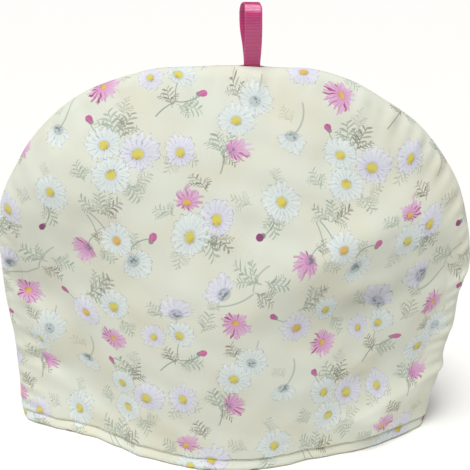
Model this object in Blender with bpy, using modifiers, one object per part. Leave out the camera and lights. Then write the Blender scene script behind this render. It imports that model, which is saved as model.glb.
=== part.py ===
"""A padded cotton tea cosy, standing open on its hem, with a ribbon loop for hanging it up.

Two dome-shaped padded panels, front and back, are sewn together along one seam that runs up one side,
over the top and down the other. The seam lies in the plane Y = 0, and the panels belly out from it. The
loop's two tails are caught in that seam. The origin is on the surface that the hem stands on, under the
middle of the cosy's width and depth. Sizes are in metres, +Z is up and the front faces -Y.
"""

from dataclasses import dataclass

import bpy
import numpy as np

# The dome, seen from the front: a flared bell that closes in a broad round crown. Its sides differ a little,
# and the crown leans to the right, so the hem's middle lies a little to the left of the origin.
HEIGHT = 0.267
HEM_MIDDLE_X = -0.0042
HEM_HALF_WIDTH = 0.1505
LEFT_FLARE = 0.070
RIGHT_FLARE = 0.115
LEFT_CROWN_POWER = 4.7
RIGHT_CROWN_POWER = 3.5
CROWN_LEAN = 0.007
OUTLINE_STEPS = 1000

# The belly of one panel, from the seam to the front of the opening.
BELLY = 0.052
BELLY_POWER_LEVEL = 1.75
BELLY_POWER_UP = 3.6
BELLY_SKEW = 0.009
SEAM_ROUND = 0.005
SEAM_ROUND_SHARE = 0.069

# The padded wall, and how it is cut where it meets its neighbours.
WALL = 0.007
SEAM_GAP = 0.0003
HEM_SPARE = 0.012
CUT_SPAN = 0.6
COLUMNS = 32
ROWS = 20
EDGE_CROWDING = 0.6

# The hanging loop of ribbon, caught in the top seam to the right of its middle.
LOOP_X = 0.0098
RIBBON_WIDTH = 0.0100
RIBBON_THICKNESS = 0.0010
LOOP_RISE = 0.0373
LOOP_SPREAD = 0.0042
TAIL_DEPTH = 0.008
TAIL_GAP = 0.0004
RIBBON_CLEARANCE = 0.0003
LOOP_STEPS = 14


@dataclass(frozen=True)
class Fold:
    """One soft trough (depth above 0) or ridge (below 0) in a panel, as a long low bell shape."""

    x: float
    z: float
    length: float
    width: float
    turn: float
    depth: float


# Across from the hem's middle, up, half length, half width, turn from level in degrees, depth.
FRONT_FOLDS = (
    Fold(0.105, 0.122, 0.055, 0.022, -18.0, 0.0075),
    Fold(0.085, 0.168, 0.050, 0.014, -18.0, -0.0025),
    Fold(0.058, 0.097, 0.020, 0.011, 0.0, 0.0025),
    Fold(0.094, 0.077, 0.038, 0.009, 9.0, -0.0030),
    Fold(-0.128, 0.118, 0.022, 0.018, -30.0, 0.0050),
    Fold(-0.118, 0.087, 0.025, 0.009, 0.0, -0.0020),
    Fold(-0.107, 0.215, 0.022, 0.009, -21.0, -0.0020),
    Fold(-0.118, 0.031, 0.032, 0.010, -7.0, -0.0025),
)
BACK_FOLDS = (
    Fold(-0.070, 0.120, 0.060, 0.020, 6.0, 0.0050),
    Fold(0.060, 0.080, 0.050, 0.015, -15.0, 0.0040),
    Fold(0.010, 0.170, 0.050, 0.018, 8.0, -0.0025),
)


def clear_scene():
    """Remove every object that the scene holds."""
    for thing in list(bpy.data.objects):
        bpy.data.objects.remove(thing, do_unlink=True)


def new_collection(name):
    """Return a new collection, linked to the scene."""
    collection = bpy.data.collections.new(name)
    bpy.context.scene.collection.children.link(collection)
    return collection


def cloth_material(name, colour, roughness):
    """Return a plain cloth material of one colour."""
    material = bpy.data.materials.new(name)
    material.use_nodes = True
    shader = material.node_tree.nodes["Principled BSDF"]
    shader.inputs["Base Color"].default_value = (*colour, 1.0)
    shader.inputs["Roughness"].default_value = roughness
    shader.inputs["Metallic"].default_value = 0.0
    return material


def grid_faces(rows, columns):
    """Return the quads of a grid of points that is stored row by row."""
    row, column = np.meshgrid(np.arange(rows - 1), np.arange(columns - 1), indexing="ij")
    corner = (row * columns + column).ravel()
    return np.column_stack([corner, corner + 1, corner + columns + 1, corner + columns])


def mesh_object(name, points, faces, collection, material):
    """Return a new object made from an array of points and an array of quads."""
    mesh = bpy.data.meshes.new(name)
    mesh.from_pydata(points.tolist(), [], faces.tolist())
    mesh.validate()
    mesh.materials.append(material)
    thing = bpy.data.objects.new(name, mesh)
    collection.objects.link(thing)
    return thing


def side_of_seam(flare, crown_power, sign):
    """One side of the seam, from the hem to the top of the crown, as x and z.

    At height z the seam is (HEM_HALF_WIDTH + flare * z) * sqrt(1 - (z / HEIGHT) ** crown_power) from the
    middle, which leans to the right with height.
    """
    climb = np.sin(np.linspace(0.0, np.pi / 2, OUTLINE_STEPS))
    z = HEIGHT * climb
    x = sign * (HEM_HALF_WIDTH + flare * z) * np.sqrt(1.0 - climb**crown_power)
    return x + CROWN_LEAN * climb, z


def seam_outline():
    """The seam from the right corner of the hem over the crown to the left corner.

    Returns the share of its length covered so far, x and z, as three arrays.
    """
    right_x, right_z = side_of_seam(RIGHT_FLARE, RIGHT_CROWN_POWER, 1.0)
    left_x, left_z = side_of_seam(LEFT_FLARE, LEFT_CROWN_POWER, -1.0)
    x = np.concatenate([right_x, left_x[-2::-1]])
    z = np.concatenate([right_z, left_z[-2::-1]])
    along = np.concatenate([[0.0], np.cumsum(np.hypot(np.diff(x), np.diff(z)))])
    return along / along[-1], x, z


def crowded(low, steps):
    """Even steps from low to 1, crowded together towards the ends that lie on the seam."""
    share = np.linspace(low, 1.0, steps + 1)
    return (1.0 - EDGE_CROWDING) * share + EDGE_CROWDING * np.sin(share * np.pi / 2)


def panel_places():
    """The panel's grid, in rows from below the hem to the crown: across, up, reach and turn.

    A rectangle is bent into a half disc, so that its lower side is the hem and its other three sides lie
    along the seam. The reach is 0 at the middle of the hem and 1 on the seam, and the turn runs from 0 at
    the hem's right corner to 1 at its left. One more row, below the hem, is there to be cut off. Across
    is counted from the hem's middle.
    """
    u, v = np.meshgrid(crowded(-1.0, COLUMNS), crowded(0.0, ROWS))
    disc_x = u * np.sqrt(1.0 - v**2 / 2)
    disc_z = v * np.sqrt(1.0 - u**2 / 2)
    reach = np.hypot(disc_x, disc_z)
    turn = np.arctan2(disc_z, disc_x) / np.pi
    along, seam_x, seam_z = seam_outline()
    x = reach * np.interp(turn, along, seam_x)
    z = reach * np.interp(turn, along, seam_z)
    flare = np.where(x[0] > 0, RIGHT_FLARE, LEFT_FLARE)
    below_x = x[0] * (1.0 - flare * HEM_SPARE / HEM_HALF_WIDTH)
    below_z = np.full(COLUMNS + 1, -HEM_SPARE)
    x = np.vstack([below_x, x])
    z = np.vstack([below_z, z])
    return x, z, np.vstack([reach[0], reach]), np.vstack([turn[0], turn])


def fold_depth(x, z, folds):
    """How far the folds push the panel in at each place, fading out towards the seam by itself."""
    total = np.zeros_like(x)
    for fold in folds:
        turn = np.radians(fold.turn)
        along = (x - fold.x) * np.cos(turn) + (z - fold.z) * np.sin(turn)
        across = (z - fold.z) * np.cos(turn) - (x - fold.x) * np.sin(turn)
        total += fold.depth * np.exp(-((along / fold.length) ** 2) - (across / fold.width) ** 2)
    return total


def belly(x, z, reach, turn, folds):
    """Distance of the panel's outer face from the seam plane.

    The share is 0 on the seam and 1 at the middle of the hem. The belly grows in step with it, on top of
    a quarter round at the seam. It is a little fuller to the right of the hem's middle than to the left,
    and the folds are taken off where the panel is away from the seam.
    """
    power = BELLY_POWER_LEVEL + (BELLY_POWER_UP - BELLY_POWER_LEVEL) * np.sin(turn * np.pi) ** 2
    share = 1.0 - np.minimum(reach, 1.0) ** power
    shoulder = SEAM_ROUND * np.sqrt(1.0 - (1.0 - np.minimum(share / SEAM_ROUND_SHARE, 1.0)) ** 2)
    across = x / HEM_HALF_WIDTH
    lowness = 1.0 - np.clip(z / HEIGHT, 0.0, 1.0)
    skew = BELLY_SKEW * across * share * lowness
    calm = np.minimum(share / (3 * SEAM_ROUND_SHARE), 1.0)
    return BELLY * share + shoulder + skew - calm * fold_depth(x, z, folds)


def add_wall(thing):
    """Give an open outer face its thickness, inwards."""
    wall = thing.modifiers.new("Wall", "SOLIDIFY")
    wall.thickness = WALL
    wall.offset = -1.0
    wall.use_even_offset = True


def cut(thing, cutter, name):
    """Take a cutter away from a solid."""
    boolean = thing.modifiers.new(name, "BOOLEAN")
    boolean.operation = "DIFFERENCE"
    boolean.solver = "EXACT"
    boolean.object = cutter


def box_cutter(name, low, high, collection):
    """Return a hidden box between two corners, to cut with."""
    bpy.ops.mesh.primitive_cube_add(size=1.0)
    cutter = bpy.context.active_object
    cutter.name = name
    for owner in list(cutter.users_collection):
        owner.objects.unlink(cutter)
    collection.objects.link(cutter)
    low = np.array(low)
    high = np.array(high)
    corners = np.array([corner.co[:] for corner in cutter.data.vertices]) + 0.5
    cutter.data.vertices.foreach_set("co", (low + corners * (high - low)).ravel())
    cutter.hide_render = True
    cutter.display_type = "WIRE"
    return cutter


def seam_height(x):
    """Height of the seam on the crown at a place across the cosy."""
    _, seam_x, seam_z = seam_outline()
    crown = seam_z > HEIGHT / 2
    return float(np.interp(x - HEM_MIDDLE_X, seam_x[crown][::-1], seam_z[crown][::-1]))


def panel(name, side, folds, material, collection, cutters):
    """Return one padded panel, on the side (-1 front, 1 back) of the seam plane."""
    x, z, reach, turn = panel_places()
    y = side * belly(x, z, reach, turn, folds)
    points = np.stack([x + HEM_MIDDLE_X, y, z], axis=-1).reshape(-1, 3)
    faces = grid_faces(ROWS + 2, COLUMNS + 1)
    if side > 0:
        faces = faces[:, ::-1]
    thing = mesh_object(name, points, faces, collection, material)
    add_wall(thing)
    for cutter in cutters:
        cut(thing, cutter, cutter.name)
    thing.data.shade_smooth()
    return thing


def loop_path():
    """The ribbon's middle line in the YZ plane, from one tail over the crown of the loop to the other.

    The strands leave the seam side by side, bow apart by half a sine wave that leans towards the top,
    and meet in a half circle of the radius they have reached.
    """
    base = seam_height(LOOP_X)
    tail_y = TAIL_GAP / 2 + RIBBON_THICKNESS / 2
    crown_z = base + LOOP_RISE - RIBBON_THICKNESS / 2 - LOOP_SPREAD
    rise = np.linspace(0.0, 1.0, LOOP_STEPS)
    strand_y = tail_y + (LOOP_SPREAD - tail_y) * np.sin(rise * np.pi / 2) ** 2
    strand_z = base + rise * (crown_z - base)
    turn = np.linspace(0.0, np.pi, LOOP_STEPS)[1:-1]
    crown_y = LOOP_SPREAD * np.cos(turn)
    crown_up = crown_z + LOOP_SPREAD * np.sin(turn)
    tail = np.array([base - TAIL_DEPTH])
    z = np.concatenate([tail, strand_z, crown_up, strand_z[::-1], tail])
    y = np.concatenate([[tail_y], strand_y, crown_y, -strand_y[::-1], [-tail_y]])
    return y, z


def ribbon_loop(material, collection):
    """Return the hanging loop: a strip as wide as the ribbon along its path, given its thickness."""
    y, z = loop_path()
    edges = np.array([LOOP_X - RIBBON_WIDTH / 2, LOOP_X + RIBBON_WIDTH / 2])
    x = np.tile(edges, (len(y), 1))
    points = np.stack([x, np.repeat(y[:, None], 2, 1), np.repeat(z[:, None], 2, 1)], axis=-1)
    thing = mesh_object("ribbon_loop", points.reshape(-1, 3), grid_faces(len(y), 2), collection, material)
    wall = thing.modifiers.new("Ribbon", "SOLIDIFY")
    wall.thickness = RIBBON_THICKNESS
    wall.offset = 0.0
    wall.use_even_offset = True
    return thing


def ribbon_slot(collection):
    """Return the cutter that makes room for the ribbon's tails between the panels."""
    base = seam_height(LOOP_X)
    half_width = RIBBON_WIDTH / 2 + RIBBON_CLEARANCE
    half_depth = TAIL_GAP / 2 + RIBBON_THICKNESS + RIBBON_CLEARANCE
    low = (LOOP_X - half_width, -half_depth, base - TAIL_DEPTH - RIBBON_CLEARANCE)
    high = (LOOP_X + half_width, half_depth, base + LOOP_RISE)
    return box_cutter("ribbon_slot", low, high, collection)


def main():
    """Build the cosy."""
    clear_scene()
    parts = new_collection("tea_cosy")
    cutters = new_collection("cutters")
    cotton = cloth_material("printed_cotton", (0.88, 0.84, 0.70), 0.85)
    grosgrain = cloth_material("raspberry_ribbon", (0.58, 0.04, 0.17), 0.55)
    half_gap = SEAM_GAP / 2
    below = box_cutter("hem_cut", (-CUT_SPAN, -CUT_SPAN, -CUT_SPAN), (CUT_SPAN, CUT_SPAN, 0.0), cutters)
    behind = box_cutter(
        "seam_cut_front", (-CUT_SPAN, -half_gap, -CUT_SPAN), (CUT_SPAN, CUT_SPAN, CUT_SPAN), cutters
    )
    ahead = box_cutter(
        "seam_cut_back", (-CUT_SPAN, -CUT_SPAN, -CUT_SPAN), (CUT_SPAN, half_gap, CUT_SPAN), cutters
    )
    slot = ribbon_slot(cutters)
    panel("front_panel", -1, FRONT_FOLDS, cotton, parts, (behind, below, slot))
    panel("back_panel", 1, BACK_FOLDS, cotton, parts, (ahead, below, slot))
    ribbon_loop(grosgrain, parts)


main()
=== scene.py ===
"""Tea cosy in flower-printed cotton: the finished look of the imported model.

Two padded panels are sewn together along a domed seam. Their open hem is turned and topstitched, and
a grosgrain ribbon loop stands in the seam at the crown. Sizes are in metres and the print is charted
in millimetres of flat cloth. X runs across the cosy, Y from front to back, and Z up.
"""

import logging
import math
from dataclasses import dataclass, field, fields
from enum import Enum, IntEnum

import bpy
import numpy as np
from mathutils import Matrix, Vector


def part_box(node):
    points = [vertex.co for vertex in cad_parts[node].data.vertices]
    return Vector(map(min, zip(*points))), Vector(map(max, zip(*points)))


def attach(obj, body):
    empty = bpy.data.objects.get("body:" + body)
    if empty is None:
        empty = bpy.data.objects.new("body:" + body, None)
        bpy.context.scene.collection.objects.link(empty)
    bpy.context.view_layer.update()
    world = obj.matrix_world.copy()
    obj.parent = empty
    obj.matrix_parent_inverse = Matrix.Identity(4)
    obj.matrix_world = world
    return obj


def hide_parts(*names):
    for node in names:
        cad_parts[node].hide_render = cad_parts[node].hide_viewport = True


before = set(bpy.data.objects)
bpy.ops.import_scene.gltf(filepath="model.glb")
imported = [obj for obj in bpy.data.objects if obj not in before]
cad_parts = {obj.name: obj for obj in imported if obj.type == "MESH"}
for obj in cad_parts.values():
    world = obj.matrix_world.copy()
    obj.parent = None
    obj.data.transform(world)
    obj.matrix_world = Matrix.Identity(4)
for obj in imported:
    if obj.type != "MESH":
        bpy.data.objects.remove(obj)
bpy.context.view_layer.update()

LOG = logging.getLogger("tea_cosy")
MM = 0.001
BODY = "root"
Colour = tuple[float, float, float]

# Stops along a side of a panel: crowded up to the second, even between the third and the fourth.
CROWD_STOPS = (0.0, 0.10, 0.28, 0.72, 1.0)
# Order of a face's corners that turns it over and keeps its first corner.
TURNED_OVER = [0, 3, 2, 1]
# Keeps a reading just inside a table's last cell.
SLIVER = 0.001
# What a mark covers: a leaning flower's cover moves and shrinks, and the others' are shares of their size.
LEAN_SHIFT = 0.45
LEAN_SHRINK = 0.25
SPRIG_COVER = 0.55
BUD_COVER = 1.5
# Between these numbers of its kind a flower's heart turns from a disc into the calyx.
CALYX_STEP = (1.2, 1.8)
# How far the print is shifted across and up each panel, in millimetres.
FRONT_PRINT = (0.0, 0.0)
BACK_PRINT = (62.0, 47.0)


class Side(Enum):
    """Which side of the seam plane a panel lies on, as the sign of its Y."""

    FRONT = -1
    BACK = 1


class Heart(Enum):
    """What is drawn at the middle of a printed flower."""

    YELLOW = 0.0
    ORANGE = 1.0
    CALYX = 2.0


class FaceKind(IntEnum):
    """Parts of a panel's surface, in the order of its faces."""

    OUTER = 0
    HEM = 1
    LINING = 2
    SEAM = 3
    CAP = 4


def srgb(red: int, green: int, blue: int) -> Colour:
    """Turns a screen colour into scene-linear values.

    Args:
        red, green, blue: the colour from 0 to 255.

    Returns:
        The linear colour: (c / 12.92) for dark values, ((c + 0.055) / 1.055) ^ 2.4 above them.
    """
    shares = np.array([red, green, blue]) / 255.0
    low = shares / 12.92
    high = ((shares + 0.055) / 1.055) ** 2.4
    return tuple(float(c) for c in np.where(shares <= 0.04045, low, high))


def smooth_step(value: np.ndarray, low: float, high: float) -> np.ndarray:
    """Eased ramp 3t^2 - 2t^3 of t, which runs from 0 at low to 1 at high."""
    t = np.clip((value - low) / (high - low), 0.0, 1.0)
    return t * t * (3.0 - 2.0 * t)


def quarter_round(t: np.ndarray) -> np.ndarray:
    """Quarter circle sqrt(1 - (1 - t)^2), which rises steeply from 0 and is level at 1."""
    return np.sqrt(1.0 - (1.0 - t) ** 2)


def crowded(count: int, start: float, end: float) -> np.ndarray:
    """Places from 0 to 1 whose spacing is start at the first, 1 in the middle and end at the last.

    Args:
        count: number of spaces.
        start, end: spacing at the two ends, as a share of the middle's.

    Returns:
        The count + 1 places, as the running sum of the spacings over their total.
    """
    share = (np.arange(count) + 0.5) / count
    space = np.interp(share, CROWD_STOPS, [start, start, 1.0, 1.0, end])
    return np.concatenate([[0.0], np.cumsum(space)]) / space.sum()


def running_length(line: np.ndarray) -> np.ndarray:
    """Length run along a line of points up to each of them."""
    return np.concatenate([[0.0], np.cumsum(np.linalg.norm(np.diff(line, axis=0), axis=1))])


def points_along(line: np.ndarray, run: np.ndarray, at: np.ndarray) -> np.ndarray:
    """Points of a line at some running lengths, read linearly between its own."""
    return np.stack([np.interp(at, run, line[:, k]) for k in range(3)], axis=1)


def unit(vectors: np.ndarray) -> np.ndarray:
    """Rows of vectors, each brought to length 1."""
    return vectors / np.linalg.norm(vectors, axis=1)[:, None]


@dataclass(frozen=True)
class Fold:
    """A soft trough, or with a negative depth a ridge, pressed into one panel.

    Its depth falls off as exp(-(along / length)^2 - (across / width)^2) about its middle.
    """

    x: float
    z: float
    length: float
    width: float
    turn: float
    depth: float

    def at(self, x: np.ndarray, z: np.ndarray) -> np.ndarray:
        """Depth of the fold.

        Args:
            x, z: places on the panel seen from the front.

        Returns:
            The depth at each place.
        """
        turn = math.radians(self.turn)
        along = (x - self.x) * math.cos(turn) + (z - self.z) * math.sin(turn)
        across = (z - self.z) * math.cos(turn) - (x - self.x) * math.sin(turn)
        return self.depth * np.exp(-((along / self.length) ** 2) - (across / self.width) ** 2)


@dataclass(frozen=True)
class Wave:
    """A push of the seam line in metres, outwards if positive, about one share of the seam's length."""

    place: float
    spread: float
    push: float


@dataclass(frozen=True)
class Ease:
    """Where the cloth was eased in sewing, as the print's shift across and up about one flat place.

    All five numbers are in millimetres.
    """

    u: float
    v: float
    spread: float
    across: float
    up: float

    def shift(self, cloth: np.ndarray) -> np.ndarray:
        """Shift at flat places: (across, up) exp(-(distance / spread)^2)."""
        apart = (cloth[..., 0] - self.u) ** 2 + (cloth[..., 1] - self.v) ** 2
        return np.exp(-apart / self.spread**2)[..., None] * np.array([self.across, self.up])


SEAM_WAVES = (
    Wave(0.035, 0.022, -0.0011),
    Wave(0.069, 0.006, 0.0016),
    Wave(0.090, 0.022, -0.0021),
    Wave(0.131, 0.008, -0.0006),
    Wave(0.148, 0.014, -0.0018),
    Wave(0.183, 0.012, 0.0012),
    Wave(0.200, 0.034, 0.0025),
    Wave(0.262, 0.030, 0.0014),
    Wave(0.335, 0.035, 0.0015),
    Wave(0.405, 0.030, 0.0030),
    Wave(0.438, 0.020, 0.0020),
    Wave(0.565, 0.022, 0.0016),
    Wave(0.620, 0.052, 0.0030),
    Wave(0.722, 0.012, -0.0006),
    Wave(0.775, 0.035, 0.0025),
    Wave(0.905, 0.033, -0.0017),
    Wave(0.992, 0.026, 0.0024),
)

EASES = (
    Ease(-15, 200, 38, 0.0, -7.0),
    Ease(22, 196, 42, 0.5, -3.5),
    Ease(0, 120, 90, -1.0, -1.5),
    Ease(-112, 215, 38, 6.0, 2.0),
    Ease(-112, 193, 18, 0.8, -3.5),
    Ease(-90, 245, 16, 3.0, 1.0),
    Ease(110, 225, 35, -3.5, -2.0),
    Ease(66, 262, 12, -2.5, 0.0),
    Ease(5, 286, 15, 0.0, -11.0),
    Ease(95, 269, 14, -5.0, -6.0),
    Ease(-125, 75, 40, -2.0, -4.0),
    Ease(-132, 76, 22, 9.5, 8.5),
    Ease(-155, 126, 36, 17.5, 4.5),
    Ease(-78, 108, 22, 0.5, 3.5),
    Ease(-107, 20, 24, 7.5, 6.5),
    Ease(-74, 8, 20, 0.0, 10.5),
    Ease(-66, 46, 20, 2.0, 2.8),
    Ease(-44, 4, 18, 0.0, 7.5),
    Ease(-117, 7, 8, 0.0, 8.0),
    Ease(112, 98, 16, 6.0, -3.0),
    Ease(135, 115, 18, -3.0, 4.0),
    Ease(126, 108, 28, -1.5, 4.0),
    Ease(35, 96, 24, 0.0, 2.5),
    Ease(66, 126, 11, -1.0, 3.2),
    Ease(66, 262, 10, -3.0, 1.6),
    Ease(5, 122, 12, -1.5, -3.5),
    Ease(33, 20, 30, -1.4, 6.0),
    Ease(33, 2, 18, 0.0, 4.5),
    Ease(78, 6, 24, 0.0, 11.5),
    Ease(114, 3, 12, 0.0, 9.0),
    Ease(118, 222, 18, -1.4, -3.0),
    Ease(94, 173, 16, 0.2, -2.2),
    Ease(65.6, 264.4, 9, 0.4, -2.4),
    Ease(138, 60, 16, 0.4, 4.0),
    Ease(134, 6, 12, 0.0, 4.0),
    Ease(70, 46, 16, -1.5, 3.0),
    Ease(-22, 18, 16, 2.0, 1.2),
    Ease(-8, 10, 14, 2.5, 3.5),
    Ease(88, 172, 32, 1.2, -3.8),
    Ease(-24, 173, 12, 0.5, 2.0),
    Ease(-58, 170, 20, 1.5, 0.5),
    Ease(0, 225, 70, 0.0, -1.3),
    Ease(72, 208, 20, -0.4, -1.2),
    Ease(-28, 60, 15, 0.0, -4.2),
    Ease(-10, 98, 26, -0.4, -2.0),
    Ease(-90, 118, 20, 2.4, 0.2),
    Ease(-132, 64, 14, 2.5, 0.0),
    Ease(62, 108, 18, -3.0, 0.6),
    Ease(145, 112, 14, -3.0, 0.0),
)

FRONT_FOLDS = (
    Fold(0.105, 0.083, 0.062, 0.040, 10, 0.0142),
    Fold(0.092, 0.126, 0.060, 0.020, 14, 0.0160),
    Fold(0.084, 0.172, 0.050, 0.015, 22, -0.0046),
    Fold(0.098, 0.161, 0.022, 0.004, 12, -0.0009),
    Fold(0.058, 0.097, 0.020, 0.011, 0, 0.0018),
    Fold(0.088, 0.076, 0.040, 0.009, 17, -0.0028),
    Fold(0.108, 0.030, 0.036, 0.016, 14, -0.0070),
    Fold(0.012, 0.124, 0.055, 0.040, 0, -0.0052),
    Fold(0.010, 0.072, 0.055, 0.055, 0, -0.0050),
    Fold(0.074, 0.004, 0.030, 0.035, 0, 0.0036),
    Fold(0.128, 0.088, 0.018, 0.012, 10, -0.0030),
    Fold(0.125, 0.200, 0.030, 0.020, -25, 0.0030),
    Fold(0.048, 0.020, 0.045, 0.050, 0, 0.0026),
    Fold(-0.108, 0.092, 0.052, 0.048, 6, 0.0080),
    Fold(-0.127, 0.117, 0.024, 0.018, -18, 0.0086),
    Fold(-0.098, 0.205, 0.045, 0.026, 12, -0.0052),
    Fold(-0.112, 0.145, 0.040, 0.026, 0, 0.0054),
    Fold(-0.140, 0.106, 0.010, 0.0045, -35, -0.0040),
    Fold(-0.137, 0.074, 0.010, 0.0040, -40, 0.0035),
    Fold(-0.125, 0.057, 0.018, 0.006, -8, 0.0026),
    Fold(-0.119, 0.042, 0.022, 0.007, -22, -0.0016),
    Fold(-0.098, 0.004, 0.029, 0.040, 0, 0.0053),
    Fold(-0.102, 0.050, 0.036, 0.024, -5, 0.0055),
)
BACK_FOLDS = (
    Fold(-0.070, 0.120, 0.060, 0.020, 6, 0.0050),
    Fold(0.060, 0.080, 0.050, 0.015, -15, 0.0040),
    Fold(0.010, 0.170, 0.050, 0.018, 8, -0.0025),
)


@dataclass
class CosyShape:
    """Outline, belly and cloth surface shared by both panels, with X measured from the hem's middle.

    line holds the seam's points, and share, angle and far tabulate them for reading between.
    """

    height: float
    hem_middle: float = -0.0042
    hem_half_width: float = 0.1505
    left_flare: float = 0.070
    right_flare: float = 0.115
    left_power: float = 4.7
    right_power: float = 3.5
    crown_lean: float = 0.007
    waves_from: float = 0.020
    belly: float = 0.052
    belly_power_level: float = 1.75
    belly_power_up: float = 3.6
    belly_skew: float = 0.009
    shoulder: float = 0.005
    shoulder_share: float = 0.069
    fold_share: float = 0.207
    wall: float = 0.007
    hem_radius: float = 0.0035
    seam_gap: float = 0.00015
    outline_steps: int = 1500
    line: np.ndarray = field(init=False)
    share: np.ndarray = field(init=False)
    angle: np.ndarray = field(init=False)
    far: np.ndarray = field(init=False)
    length: float = field(init=False)

    def __post_init__(self) -> None:
        """Works out the seam line from the right hem corner over the crown to the left one."""
        right = self._half_outline(1, self.right_flare, self.right_power)
        left = self._half_outline(-1, self.left_flare, self.left_power)
        self.line = np.concatenate([right, left[-2::-1]])
        self._measure()
        along = np.gradient(self.line, axis=0)
        outward = unit(np.stack([along[:, 1], -along[:, 0]], axis=1))
        outward[:, 1] *= smooth_step(self.line[:, 1], self.hem_radius, self.waves_from)
        push = sum(w.push * np.exp(-(((self.share - w.place) / w.spread) ** 2)) for w in SEAM_WAVES)
        self.line = self.line + outward * push[:, None]
        self._measure()

    def _half_outline(self, sign: int, flare: float, power: float) -> np.ndarray:
        """Half of the seam: x = sign (half width + flare z) sqrt(1 - climb^power) + lean climb.

        Args:
            sign: 1 for the right half and -1 for the left one.
            flare: how much the half widens per metre of height.
            power: how square its shoulder is.

        Returns:
            Rows of X and Z from the hem to the crown.
        """
        low = math.asin(self.hem_radius / self.height)
        climb = np.sin(np.linspace(low, math.pi / 2, self.outline_steps))
        z = self.height * climb
        x = sign * (self.hem_half_width + flare * z) * np.sqrt(1.0 - climb**power)
        return np.stack([x + self.crown_lean * climb, z], axis=1)

    def _measure(self) -> None:
        """Tabulates the seam's running length, and its angle and distance from the hem's middle."""
        run = running_length(self.line)
        self.length = float(run[-1])
        self.share = run / run[-1]
        self.angle = np.arctan2(self.line[:, 1] - self.hem_radius, self.line[:, 0])
        self.far = np.hypot(self.line[:, 0], self.line[:, 1] - self.hem_radius)

    def seam_at(self, turn: np.ndarray) -> tuple[np.ndarray, np.ndarray]:
        """X of the seam, and its height over the hem's roll, at shares of its length."""
        x, z = (np.interp(turn, self.share, self.line[:, k]) for k in range(2))
        return x, z - self.hem_radius

    def polar(self, x: np.ndarray, z: np.ndarray) -> tuple[np.ndarray, np.ndarray, np.ndarray]:
        """Where places lie between the hem's middle and the seam.

        Args:
            x, z: places on the panel seen from the front.

        Returns:
            reach, from 0 at the hem's middle to 1 on the seam; turn, the share of the seam's length
            in that direction; and the seam's distance in that direction.
        """
        rise = np.maximum(z - self.hem_radius, 0.0)
        angle = np.arctan2(rise, x)
        far = np.interp(angle, self.angle, self.far)
        return np.hypot(x, rise) / far, np.interp(angle, self.angle, self.share), far

    def folded_depth(self, x: np.ndarray, z: np.ndarray, folds: tuple[Fold, ...]) -> np.ndarray:
        """Depth of the padded belly from the seam plane, less every fold, which fades out at the seam.

        The belly is belly share + shoulder quarter round + skew, where share = 1 - reach^power.

        Args:
            x, z: places on the panel seen from the front.
            folds: the panel's main folds.

        Returns:
            The depth at each place.
        """
        reach, turn, _ = self.polar(x, z)
        lift = self.belly_power_up - self.belly_power_level
        power = self.belly_power_level + lift * np.sin(math.pi * turn) ** 2
        share = 1.0 - np.minimum(reach, 1.0) ** power
        rounding = self.shoulder * quarter_round(np.minimum(share / self.shoulder_share, 1.0))
        upright = 1.0 - np.clip(z / self.height, 0.0, 1.0)
        skew = self.belly_skew * (x / self.hem_half_width) * share * upright
        fade = np.minimum(share / self.fold_share, 1.0)
        return self.belly * share + rounding + skew - fade * sum(fold.at(x, z) for fold in folds)


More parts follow.
